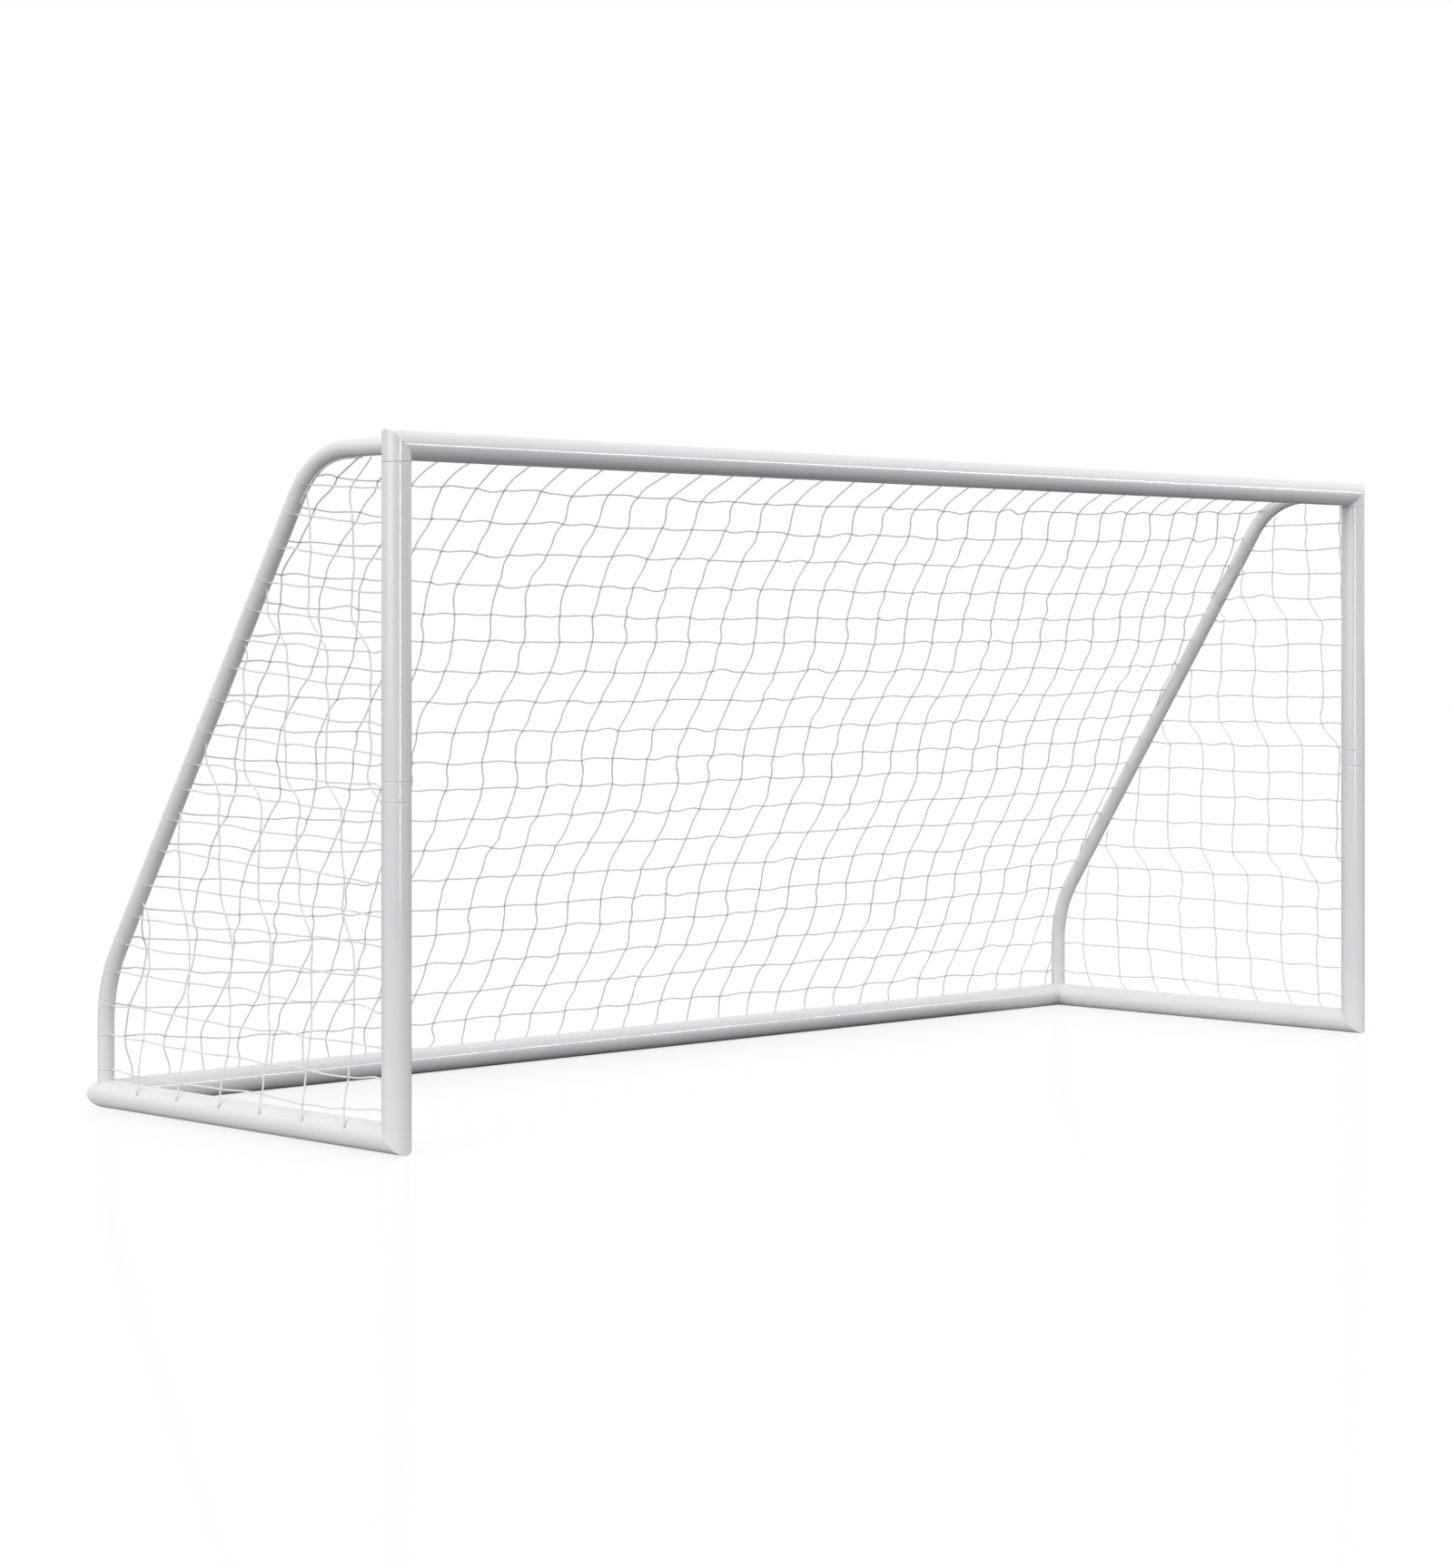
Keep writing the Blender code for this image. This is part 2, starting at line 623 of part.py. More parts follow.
def build():
    clear_scene()
    paint = make_material("white_paint", (0.78, 0.78, 0.80), 0.28, 0.0)
    zinc = make_material("zinc_plate", (0.55, 0.56, 0.58), 0.40, 1.0)
    steel = make_material("spring_steel", (0.62, 0.62, 0.64), 0.25, 1.0)
    twine = make_material("net_twine", (0.80, 0.80, 0.79), 0.80, 0.0)

    make_crossbar(paint)
    make_tube("rear_bar", rear_bar_stations(), TUBE_RADIUS, TUBE_WALL, TUBE_SIDES, paint)
    bar_cutter = make_cope("crossbar", crossbar_stations(COPE_OVERRUN))
    rear_cutter = make_cope("rear_bar", rear_bar_stations(COPE_OVERRUN))

    for label, side in SIDES.items():
        make_tube(
            "side_bar_" + label, side_bar_stations(side), TUBE_RADIUS, TUBE_WALL, TUBE_SIDES, paint
        )
        corner_sleeve = make_corner(label, side, paint, zinc)
        upper, coupling_sleeve, lower = make_posts(label, side, paint, zinc)
        stub_cutter = make_cope("stub_" + label, stub_stations(side, COPE_OVERRUN))
        side_cutter = make_cope("side_bar_" + label, side_bar_stations(side, COPE_OVERRUN))
        stay, arm_sleeve, foot_sleeve = make_stay(
            label, side, paint, zinc, (bar_cutter, stub_cutter), (rear_cutter, side_cutter)
        )
        turned = Vector((side * math.sin(POST_BUTTON_TURN), math.cos(POST_BUTTON_TURN), 0))
        for name, height, along, targets in (
            ("corner_", CORNER_SEAM_Z - BUTTON_PAST_SEAM, -AXIS_Z, (upper, corner_sleeve)),
            ("post_upper_", RING_TOP_Z + BUTTON_PAST_SEAM, AXIS_Z, (upper, coupling_sleeve)),
            ("post_lower_", RING_FOOT_Z - BUTTON_PAST_SEAM, -AXIS_Z, (lower, coupling_sleeve)),
        ):
            centre = post_axis(side) + AXIS_Z * height
            fit_lock(name + label, centre, turned, along, True, targets, steel)
        centre = top_corner(side) + AXIS_Y * (TUBE_RADIUS + BUTTON_PAST_SEAM)
        fit_lock("arm_" + label, centre, AXIS_Z, AXIS_Y, False, (stay, arm_sleeve), steel)
        centre = rear_axis(side) + AXIS_Z * (FOOT_SEAM_HEIGHT + BUTTON_PAST_SEAM)
        fit_lock("foot_" + label, centre, AXIS_Y, AXIS_Z, False, (stay, foot_sleeve), steel)
    make_nets(twine)


build()
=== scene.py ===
# %% [markdown]
# # A portable soccer goal
#
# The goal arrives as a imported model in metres: +Z is up, X runs along the crossbar and +Y
# points from the mouth to the back. Every visible surface is rebuilt here as a smooth skin in
# the same place, and the plain netting is replaced by a real one of knotted twine.

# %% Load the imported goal
import math

import bpy
import numpy as np
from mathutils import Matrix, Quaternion, Vector


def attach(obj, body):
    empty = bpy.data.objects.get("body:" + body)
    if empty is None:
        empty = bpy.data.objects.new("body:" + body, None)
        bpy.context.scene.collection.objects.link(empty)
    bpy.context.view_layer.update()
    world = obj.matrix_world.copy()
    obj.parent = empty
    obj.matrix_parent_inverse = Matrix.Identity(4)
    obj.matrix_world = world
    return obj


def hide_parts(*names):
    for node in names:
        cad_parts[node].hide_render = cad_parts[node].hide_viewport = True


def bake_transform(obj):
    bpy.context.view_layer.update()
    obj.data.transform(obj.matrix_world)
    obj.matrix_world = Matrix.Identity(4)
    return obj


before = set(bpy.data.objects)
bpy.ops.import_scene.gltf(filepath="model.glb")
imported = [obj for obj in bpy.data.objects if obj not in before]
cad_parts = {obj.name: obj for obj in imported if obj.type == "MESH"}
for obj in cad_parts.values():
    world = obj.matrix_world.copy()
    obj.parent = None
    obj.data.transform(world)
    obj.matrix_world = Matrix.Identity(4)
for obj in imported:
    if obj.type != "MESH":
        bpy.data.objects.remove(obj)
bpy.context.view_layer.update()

# %% [markdown]
# ## Sizes
# These are the sizes of the frame itself. Everything below is placed from them, so a bar, its
# weld and its netting always meet.

# %% Name the sizes
GOAL_WIDTH, GOAL_HEIGHT, BASE_DEPTH = 4.877, 2.134, 1.575
R_MAIN, R_STAY, WALL = 0.04445, 0.027, 0.002
HALF = GOAL_WIDTH / 2 - R_MAIN  # from the middle to a post's axis
FRONT = R_MAIN - BASE_DEPTH / 2
REAR = -FRONT
TOP, GROUND = GOAL_HEIGHT - R_MAIN, R_MAIN
STUB_DROP, HALF_RING, SEAM_FOOT = 0.096, 0.0305, 0.131
SEAM_TOP = GOAL_HEIGHT - STUB_DROP
RING_TOP, RING_FOOT = GOAL_HEIGHT / 2 + HALF_RING, GOAL_HEIGHT / 2 - HALF_RING
SLOPE, FOOT_VERTEX = math.radians(33.1), 0.407
TOP_BEND, FOOT_BEND = 0.290, 0.450
PAST_SEAM, POST_BUTTON, STAY_BUTTON, STAND_OUT = 0.055, 0.00475, 0.0039, 0.005
ARM_LOCK, FOOT_LOCK = FRONT + R_MAIN + PAST_SEAM, SEAM_FOOT + PAST_SEAM
TWINE = 0.0027  # radius of the cord
SIDES = {"left": -1.0, "right": 1.0}
X, Y, Z = np.eye(3)
rng = np.random.default_rng(7)
print("posts' axes at x = ±%.4f, y = %.4f" % (HALF, FRONT))

# %% [markdown]
# ## Meshes from arrays
# Every new piece is a grid of points worked out with numpy. One helper turns grids into a mesh:
# each block of faces is an array of point numbers, one row a face, so no loop ever runs over
# the points.


# %% Turn arrays into a mesh object
SHARP, KNOT_SHARP = math.radians(32), math.radians(75)


def unit(v):
    return v / np.linalg.norm(v, axis=-1, keepdims=True)


def make_object(name, points, blocks, uvs=None, smooth=True, sharp=SHARP):
    """points is (n, 3). Each block is (faces, corners) of point numbers; uvs is (n, 2)."""
    mesh = bpy.data.meshes.new(name)
    corners = np.concatenate([block.ravel() for block in blocks]).astype(np.int32)
    totals = np.concatenate([np.full(len(b), b.shape[1]) for b in blocks]).astype(np.int32)
    starts = np.concatenate([[0], np.cumsum(totals)[:-1]]).astype(np.int32)
    mesh.vertices.add(len(points))
    mesh.vertices.foreach_set("co", points.astype(np.float32).ravel())
    mesh.loops.add(len(corners))
    mesh.loops.foreach_set("vertex_index", corners)
    mesh.polygons.add(len(totals))
    mesh.polygons.foreach_set("loop_start", starts)
    if uvs is not None:
        layer = mesh.uv_layers.new(name="UVMap")
        layer.data.foreach_set("uv", uvs[corners].astype(np.float32).ravel())
    mesh.update(calc_edges=True)
    mesh.validate()
    if smooth:
        mesh.shade_smooth()
        mesh.set_sharp_from_angle(angle=sharp)
    thing = bpy.data.objects.new(name, mesh)
    bpy.context.scene.collection.objects.link(thing)
    return thing


def grid_faces(rows, columns, wrap_rows, wrap_columns):
    """Quads of a grid of points, numbered row by row; a wrapped side closes on itself."""
    row = np.arange(rows if wrap_rows else rows - 1)
    column = np.arange(columns if wrap_columns else columns - 1)
    r, c = np.meshgrid(row, column, indexing="ij")
    r2, c2 = (r + 1) % rows, (c + 1) % columns
    quads = [r * columns + c, r * columns + c2, r2 * columns + c2, r2 * columns + c]
    return np.stack(quads, axis=-1).reshape(-1, 4)


# %% [markdown]
# ## Tubes
# A real bar is a hollow tube with a 2 mm wall. Its skin is one ring of points carried along the
# tube's line, out along the outside and back along the inside, so the piece is closed and shows
# its wall at every open end. A ring can be cut on a slant: each of its points then slides along
# the tube onto the cutting plane, or onto the curved side of the tube that it butts against.
# That is how a mitre and a cope are really cut, and a scaled or turned ring couldn't do both.


# %% Carry rings along a line
AROUND = 64
ANGLE = np.arange(AROUND) * 2 * np.pi / AROUND


def ring_points(centre, along, side, radius, slide=None):
    """centre + radius (cos a side + sin a up), moved along the tube by slide(offset)."""
    up = np.cross(side, along)
    offset = radius * (np.cos(ANGLE)[:, None] * side + np.sin(ANGLE)[:, None] * up)
    points = centre + offset
    if slide is not None:
        points = points + slide(offset)[:, None] * along
    return points


def cut_on(normal, along):
    """Slide each point onto the plane through the ring's centre with this normal."""
    return lambda offset: -(offset @ normal) / (along @ normal)


def tube(name, centres, alongs, side, radius, start=None, end=None, soft_start=0, soft_end=0):
    """A hollow tube. start and end are slides; soft ends get a small rounded edge."""
    outer, inner = [], []
    turn = np.linspace(0, np.pi / 2, 4)
    last = len(centres) - 1
    for index, (centre, along) in enumerate(zip(centres, alongs)):
        slide = start if index == 0 else end if index == last else None
        soft = soft_start if index == 0 else soft_end if index == last else 0
        away = 1 if index == 0 else -1
        inner.append(ring_points(centre, along, side, radius - WALL, slide))
        if soft:
            edge = [(soft * (1 - np.cos(t)), soft * (1 - np.sin(t))) for t in turn]
            edge.append((2.5 * soft, 0.0))
            for shift, shrink in edge if index == 0 else edge[::-1]:
                shifted = centre + away * shift * along
                outer.append(ring_points(shifted, along, side, radius - shrink))
        else:
            outer.append(ring_points(centre, along, side, radius, slide))
    rings = np.array(outer + inner[::-1])
    faces = grid_faces(len(rings), AROUND, True, True)
    thing = make_object(name, rings.reshape(-1, 3), [faces])
    fix_outward(thing)
    return thing


def fix_outward(thing):
    """Turn the faces out where a closed mesh came out the other way round."""
    mesh = thing.data
    count = len(mesh.vertices)
    points = np.empty(count * 3, dtype=np.float32)
    mesh.vertices.foreach_get("co", points)
    points = points.reshape(-1, 3).astype(float)
    mesh.calc_loop_triangles()
    corners = np.empty(len(mesh.loop_triangles) * 3, dtype=np.int32)
    mesh.loop_triangles.foreach_get("vertices", corners)
    a, b, c = points[corners.reshape(-1, 3)].transpose(1, 0, 2)
    if np.einsum("ij,ij->i", a, np.cross(b, c)).sum() < 0:
        mesh.flip_normals()


# %% Turn a profile and drill a hole
DRILL_REACH = 0.06


def turned(name, centre, direction, profile, around=32):
    """A solid of revolution: profile is (distance along direction, radius), poles closed."""
    direction = np.array(direction, dtype=float)
    side = unit(np.cross(direction, X if abs(direction[0]) < 0.9 else Y))
    up = np.cross(direction, side)
    angle = np.arange(around) * 2 * np.pi / around
    spokes = np.cos(angle)[:, None] * side + np.sin(angle)[:, None] * up
    height, width = np.array(profile).T
    rings = centre + height[:, None, None] * direction + width[:, None, None] * spokes[None]
    poles = [centre + height[0] * direction, centre + height[-1] * direction]
    count = len(profile) * around
    i = np.arange(around)
    j = (i + 1) % around
    low = np.column_stack([i * 0 + count, j, i])
    high = np.column_stack([i * 0 + count + 1, i + count - around, j + count - around])
    points = np.concatenate([rings.reshape(-1, 3), poles])
    thing = make_object(name, points, [grid_faces(len(profile), around, False, True), low, high])
    fix_outward(thing)
    return thing


def drill(thing, centre, direction, radius):
    """Cut a round hole through the tube's wall, from its axis outwards, and keep the result."""
    cutter = turned("drill", centre, direction, [(0.0, radius), (DRILL_REACH, radius)], 24)
    cut = thing.modifiers.new("hole", "BOOLEAN")
    cut.operation, cut.solver, cut.object = "DIFFERENCE", "EXACT", cutter
    bpy.context.view_layer.update()
    shaped = thing.evaluated_get(bpy.context.evaluated_depsgraph_get())
    mesh = bpy.data.meshes.new_from_object(shaped)
    thing.modifiers.clear()
    thing.data = mesh
    mesh.shade_smooth()
    mesh.set_sharp_from_angle(angle=SHARP)
    bpy.data.objects.remove(cutter, do_unlink=True)


# %% Add a bar
painted = []


def add_bar(piece, label, *arguments, holes=(), **options):
    """A painted bar that stands for one CAD tube and moves with the goal."""
    ending = "_" + label if label else ""
    node = piece + ending
    thing = tube(piece + "_skin" + ending, *arguments, **options)
    for hole in holes:
        drill(thing, *hole)
    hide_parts(node)
    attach(thing, "goal")
    painted.append(thing)


# %% [markdown]
# ## The straight bars
# Crossbar, posts and ground bars are one size of tube. Where they meet at a corner both are cut
# on the plane that halves the corner and welded, so the seam is flush. The seams that come apart
# have a small rounded edge on both tubes, which shows as the fine dark line in the photograph.


# %% Build the straight bars
HOLE_ROOM = 0.014  # from a hole's middle to the rings beside it
SOFT, PLAY = 0.0018, 0.00035  # rounding of a seam's edge, and room round a button's shank


def corner_point(side, y, z):
    return np.array([side * HALF, y, z])


def post_lock(side):
    """Which way a post's buttons point: back, and 30 degrees outwards."""
    return side * 0.5 * X + math.sqrt(0.75) * Y


def two(start, end, *near):
    """A straight run, with two more rings beside each distance in near, where a hole goes."""
    length = np.linalg.norm(end - start)
    along = (end - start) / length
    stops = sorted([0.0, length] + [n + d for n in near for d in (-HOLE_ROOM, HOLE_ROOM)])
    return np.array([start + along * stop for stop in stops]), np.tile(along, (len(stops), 1))


for name, y, z, other in (("crossbar", FRONT, TOP, -Z), ("rear_bar", REAR, GROUND, -Y)):
    add_bar(
        name, "", *two(corner_point(-1, y, z), corner_point(1, y, z)), Y, R_MAIN,
        start=cut_on(X - other, X), end=cut_on(-X - other, X),
    )

for label, side in SIDES.items():
    inward = -side * X
    base = corner_point(side, FRONT, 0)
    add_bar(
        "corner_stub", label, *two(base + SEAM_TOP * Z, base + TOP * Z), X, R_MAIN,
        end=cut_on(-Z - inward, Z), soft_start=SOFT,
    )
    marks = [SEAM_TOP - PAST_SEAM, RING_TOP + PAST_SEAM, RING_FOOT - PAST_SEAM]
    holes = [(base + mark * Z, post_lock(side), POST_BUTTON + PLAY) for mark in marks]
    upper = two(base + RING_TOP * Z, base + SEAM_TOP * Z, PAST_SEAM, marks[0] - RING_TOP)
    add_bar(
        "post_upper", label, *upper, X, R_MAIN,
        holes=holes[:2], soft_start=SOFT, soft_end=SOFT,
    )
    add_bar(
        "coupling_ring", label, *two(base + RING_FOOT * Z, base + RING_TOP * Z), X, R_MAIN,
        soft_start=SOFT, soft_end=SOFT,
    )
    lower = two(base + GROUND * Z, base + RING_FOOT * Z, marks[2] - GROUND)
    add_bar(
        "post_lower", label, *lower, X, R_MAIN,
        holes=holes[2:], start=cut_on(Z - Y, Z), soft_end=SOFT,
    )
    level = two(corner_point(side, FRONT, GROUND), corner_point(side, REAR, GROUND))
    add_bar(
        "side_bar", label, *level, X, R_MAIN,
        start=cut_on(Y - Z, Y), end=cut_on(-Y - inward, Y),
    )
print("straight bars:", len(painted))

# %% [markdown]
# ## The bent stays
# Each stay is one tube, bent twice. Its line is two straight runs and two arcs in the side plane.
# The front end is coped: every point slides back until it meets the crossbar's or the corner
# stub's round side, whichever tube is in front of it. The foot's stub is coped the same way.


# %% Build the stays and their foot stubs
TOP_RINGS, FOOT_RINGS = 41, 25


def stay_line(side):
    """Centres, directions and outward normals down the stay, from the corner to the foot."""
    foot_centre = np.array([REAR - FOOT_BEND, FOOT_VERTEX - FOOT_BEND * math.tan(SLOPE / 2)])
    vertex_y = REAR - (TOP - FOOT_VERTEX) * math.tan(SLOPE)
    top_centre = np.array(
        [vertex_y - TOP_BEND * math.tan((math.pi / 2 - SLOPE) / 2), TOP - TOP_BEND]
    )
    top_turn = np.linspace(math.pi / 2, SLOPE, TOP_RINGS)
    foot_turn = np.linspace(SLOPE, 0, FOOT_RINGS)
    turn = np.concatenate([[math.pi / 2] * 3, top_turn, foot_turn, [0] * 3])
    arms = np.concatenate([top_turn * 0 + TOP_BEND, foot_turn * 0 + FOOT_BEND])
    hubs = np.repeat([top_centre, foot_centre], [TOP_RINGS, FOOT_RINGS], axis=0)
    bends = hubs + arms[:, None] * np.stack([np.cos(turn[3:-3]), np.sin(turn[3:-3])], axis=1)
    line = np.concatenate([
        [[FRONT, TOP], [ARM_LOCK - HOLE_ROOM, TOP], [ARM_LOCK + HOLE_ROOM, TOP]], bends,
        [[REAR, FOOT_LOCK + HOLE_ROOM], [REAR, FOOT_LOCK - HOLE_ROOM], [REAR, SEAM_FOOT]],
    ])
    centres = np.column_stack([np.full(len(line), side * HALF), line])
    zero = np.zeros(len(turn))
    alongs = np.column_stack([zero, np.sin(turn), -np.cos(turn)])
    normals = np.column_stack([zero, np.cos(turn), np.sin(turn)])
    return centres, alongs, normals


def cope(a, b):
    """Slide each point onto the two mitred tubes that a tube butts against. a and b point across
    them, each to the side where its own tube is in front."""
    def slide(offset):
        p, q = offset @ a, offset @ b
        return np.sqrt(R_MAIN**2 - np.where(p + q > 0, p, q) ** 2)
    return slide


for label, side in SIDES.items():
    centres, alongs, _ = stay_line(side)
    add_bar(
        "stay", label, centres, alongs, X, R_STAY,
        holes=[
            (corner_point(side, ARM_LOCK, TOP), Z, STAY_BUTTON + PLAY),
            (corner_point(side, REAR, FOOT_LOCK), Y, STAY_BUTTON + PLAY),
        ],
        start=cope(Z, -side * X), soft_end=SOFT,
    )
    stub = two(corner_point(side, REAR, GROUND), corner_point(side, REAR, SEAM_FOOT))
    add_bar("foot_stub", label, *stub, X, R_STAY, start=cope(side * X, -Y), soft_end=SOFT)
print("bars in all:", len(painted))

# %% [markdown]
# ## Snap buttons
# Where the goal comes apart, a sprung steel button in the inner sleeve stands out through a hole
# in the outer tube. It is turned metal: a wide flange that stops it from falling out, a straight
# shank and a domed head, so it is a profile carried round an axis. Each one rides on its own
# body, because it is pressed in to take the joint apart. Behind it stands a leaf spring, a strip
# of steel folded into a V, with one leg under the button and the other on the sleeve's far wall.


# %% Turn the buttons and fold the springs
GAP, LEAF, FLANGE, FLANGE_THICK, ROUNDING = 0.0003, 0.001, 0.0022, 0.0015, 0.0026
POST_LEAF, STAY_LEAF = 0.052, 0.040  # from the button's axis to the fold of its spring
FLAT = 0.35  # share of a button's width that its head keeps at the top


def leaf_spring(label, centre, direction, along, width, near, bore, reach):
    """A strip along a V, in (height, run) from the tube's axis at the button: the leg below the
    flange, the round nose and the leg on the far wall."""
    far = math.sqrt(bore**2 - (width / 2) ** 2) - 2 * GAP - LEAF / 2
    nose, t = 0.10 * bore, np.linspace(0, 1, 9)[:, None]
    turn = np.linspace(0, np.pi, 9)[1:-1, None]
    path = np.concatenate([
        [[near, -0.5 * width]],
        (1 - t) * [near, 0.9 * width] + t * [nose, reach],
        np.hstack([nose * np.cos(turn), reach + nose * np.sin(turn)]),
        (1 - t) * [-nose, reach] + t * [-far, 0.4 * width],
        [[-far, -0.5 * width]],
    ])
    slope = unit(np.gradient(path, axis=0))
    normal = np.stack([-slope[:, 1], slope[:, 0]], axis=1)
    across = np.cross(direction, along)
    corners = [(-1, -1), (-1, 1), (1, 1), (1, -1)]
    points = np.stack([
        centre + (path + side * LEAF / 2 * normal) @ [direction, along] + span * width / 2 * across
        for side, span in corners
    ], axis=1)
    last = 4 * (len(path) - 1)
    caps = np.array([[3, 2, 1, 0], [last, last + 1, last + 2, last + 3]])
    blocks = [grid_faces(len(path), 4, False, True), caps]
    thing = make_object("leaf_" + label + "_bent", points.reshape(-1, 3), blocks)
    fix_outward(thing)
    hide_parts("leaf_" + label)
    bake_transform(thing)
    springs.append(thing)


def snap_button(label, centre, direction, along, radius, tube_radius, reach):
    """Flange, shank and a head that is a quarter of an ellipse, and its spring."""
    node = "button_" + label
    bore = tube_radius - 2 * WALL - GAP
    seat, crown = math.sqrt(bore**2 - (radius + FLANGE) ** 2) - 2 * GAP, tube_radius + STAND_OUT
    turn = np.linspace(0, np.pi / 2, 7)[:-1]
    profile = [(seat - FLANGE_THICK, radius + FLANGE), (seat, radius + FLANGE), (seat, radius)]
    profile += [
        (crown - ROUNDING * (1 - math.sin(t)), radius * (FLAT + (1 - FLAT) * math.cos(t)))
        for t in turn
    ]
    profile.append((crown, radius * FLAT))
    thing = turned(node + "_turned", centre, direction, profile)
    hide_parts(node)
    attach(thing, node)
    buttons.append(thing)
    near = seat - FLANGE_THICK - GAP - LEAF / 2
    leaf_spring(label, centre, direction, along, 2 * radius, near, bore, reach)


buttons, springs = [], []
for label, side in SIDES.items():
    for name, mark, along in (
        ("corner_", SEAM_TOP - PAST_SEAM, -Z),
        ("post_upper_", RING_TOP + PAST_SEAM, Z),
        ("post_lower_", RING_FOOT - PAST_SEAM, -Z),
    ):
        place = corner_point(side, FRONT, mark)
        snap_button(name + label, place, post_lock(side), along, POST_BUTTON, R_MAIN, POST_LEAF)
    place = corner_point(side, ARM_LOCK, TOP)
    snap_button("arm_" + label, place, Z, Y, STAY_BUTTON, R_STAY, STAY_LEAF)
    place = corner_point(side, REAR, FOOT_LOCK)
    snap_button("foot_" + label, place, Y, Z, STAY_BUTTON, R_STAY, STAY_LEAF)
print("buttons:", len(buttons), "springs:", len(springs))

# %% [markdown]
# ## Netting
# The net is knotted twine. Its rows run level all the way round, and its columns hang straight
# for a few rows and then step sideways, with a shorter row where they step. The rows of a side
# lie in the plane of its post and stay, are led round the stay and go on across the back, which
# is one sheet: it drops from the crossbar to a fold one row down and then runs straight to the
# rear bar. A point of a sheet is found from two numbers of its own, such as the distance along
# the crossbar and the row, which may lie between two strands.

# %% Where the rows lie
ROWS = 19
LAST = ROWS + 1
K = np.arange(LAST + 1)
HEM = 0.0032  # radius of the cords along the edges
REACH, PRESSED = R_STAY + TWINE, R_STAY + 0.0010  # a cord beside the stay, and pressed on it
FOLD = 0.185  # behind the crossbar's axis
HEAD_AT, FEET_AT, HEM_AT = -25, 70, 40  # degrees round a bar, up from straight back
OVER_BAR = R_MAIN + TWINE
KNOT, END_KNOT = 0.0040, 0.0048
STRAY, STRAY_ROWS, STRAY_HIGH = 0.005, 0.024, 0.0035  # of a knot: aside, in rows and in height
BACK_SLACK, SIDE_SLACK = 0.004, 0.003


def row_heights(first, step, growth, short_row):
    """Height of rows 1 to ROWS: steps grow downwards, and every fifth one is shorter."""
    k = np.arange(1, ROWS)
    steps = (step + growth * k) * np.where(k % 5 == short_row, 0.84, 1.0)
    return first - np.concatenate([[0], np.cumsum(steps)])


def on_bar(y, z, degrees):
    """A point just off a bar's skin, at an angle up from straight back."""
    angle = math.radians(degrees)
    return y + OVER_BAR * math.cos(angle), z + OVER_BAR * math.sin(angle)


back_rows = row_heights(1.974, 0.0925, 0.00105, 0)
right_rows = row_heights(1.985, 0.0945, 0.00115, 4)
STAY_ROWS = {  # heights of the rows at the stays, and below at the posts
    "left": np.array([
        2.005, 1.911, 1.809, 1.707, 1.619, 1.530, 1.441, 1.339, 1.240, 1.139,
        1.058, 0.959, 0.859, 0.747, 0.643, 0.550, 0.453, 0.336, 0.237, 0.126,
    ]),
    "right": right_rows + 0.005,
}
POST_ROWS = {
    "left": np.array([
        1.962, 1.859, 1.750, 1.656, 1.563, 1.475, 1.373, 1.261, 1.171, 1.080,
        1.000, 0.904, 0.797, 0.696, 0.605, 0.509, 0.416, 0.309, 0.210, 0.117,
    ]),
    "right": right_rows - 0.005,
}
fold_y = FRONT + FOLD
top_y, top_z = on_bar(FRONT, TOP, HEAD_AT)
rear_y, rear_z = on_bar(REAR, GROUND, FEET_AT)
fall = (rear_y - fold_y) / (back_rows[0] - rear_z)
mid_z = np.concatenate([[top_z], back_rows, [rear_z]])
mid_y = np.concatenate([[top_y], fold_y + fall * (back_rows[0] - back_rows), [rear_y]])
print("fold at y = %.3f, rows from z = %.3f to %.3f" % (fold_y, back_rows[0], back_rows[-1]))


# %% Where the rows turn round the stays
LINE, _, NORMALS = stay_line(1.0)
by_height = np.argsort(LINE[1:, 2])
STAY_Z, STAY_Y = LINE[1:, 2][by_height], LINE[1:, 1][by_height]
STAY_NY, STAY_NZ = NORMALS[1:, 1][by_height], NORMALS[1:, 2][by_height]
WRAP_START = {-1.0: math.radians(-90), 1.0: math.radians(-45)}
WRAP_END = math.radians(135)


def stay_at(z):
    """The stay's axis and its backward normal at a height."""
    return [np.interp(z, STAY_Z, row) for row in (STAY_Y, STAY_NY, STAY_NZ)]


def wrap_point(side, z, rise, angle):
    """On the stay's skin: -90 degrees is the inner edge, 0 the outer face and 90 the back; the
    row rises on its way from the outer face to the back."""
    height = z + rise * np.clip(angle, 0, None) / WRAP_END
    y, ny, nz = stay_at(height)
    x = side * (HALF + PRESSED * np.cos(angle))
    back = PRESSED * np.sin(angle)
    return np.stack([x + 0 * y, y + back * ny, height + back * nz], axis=-1)


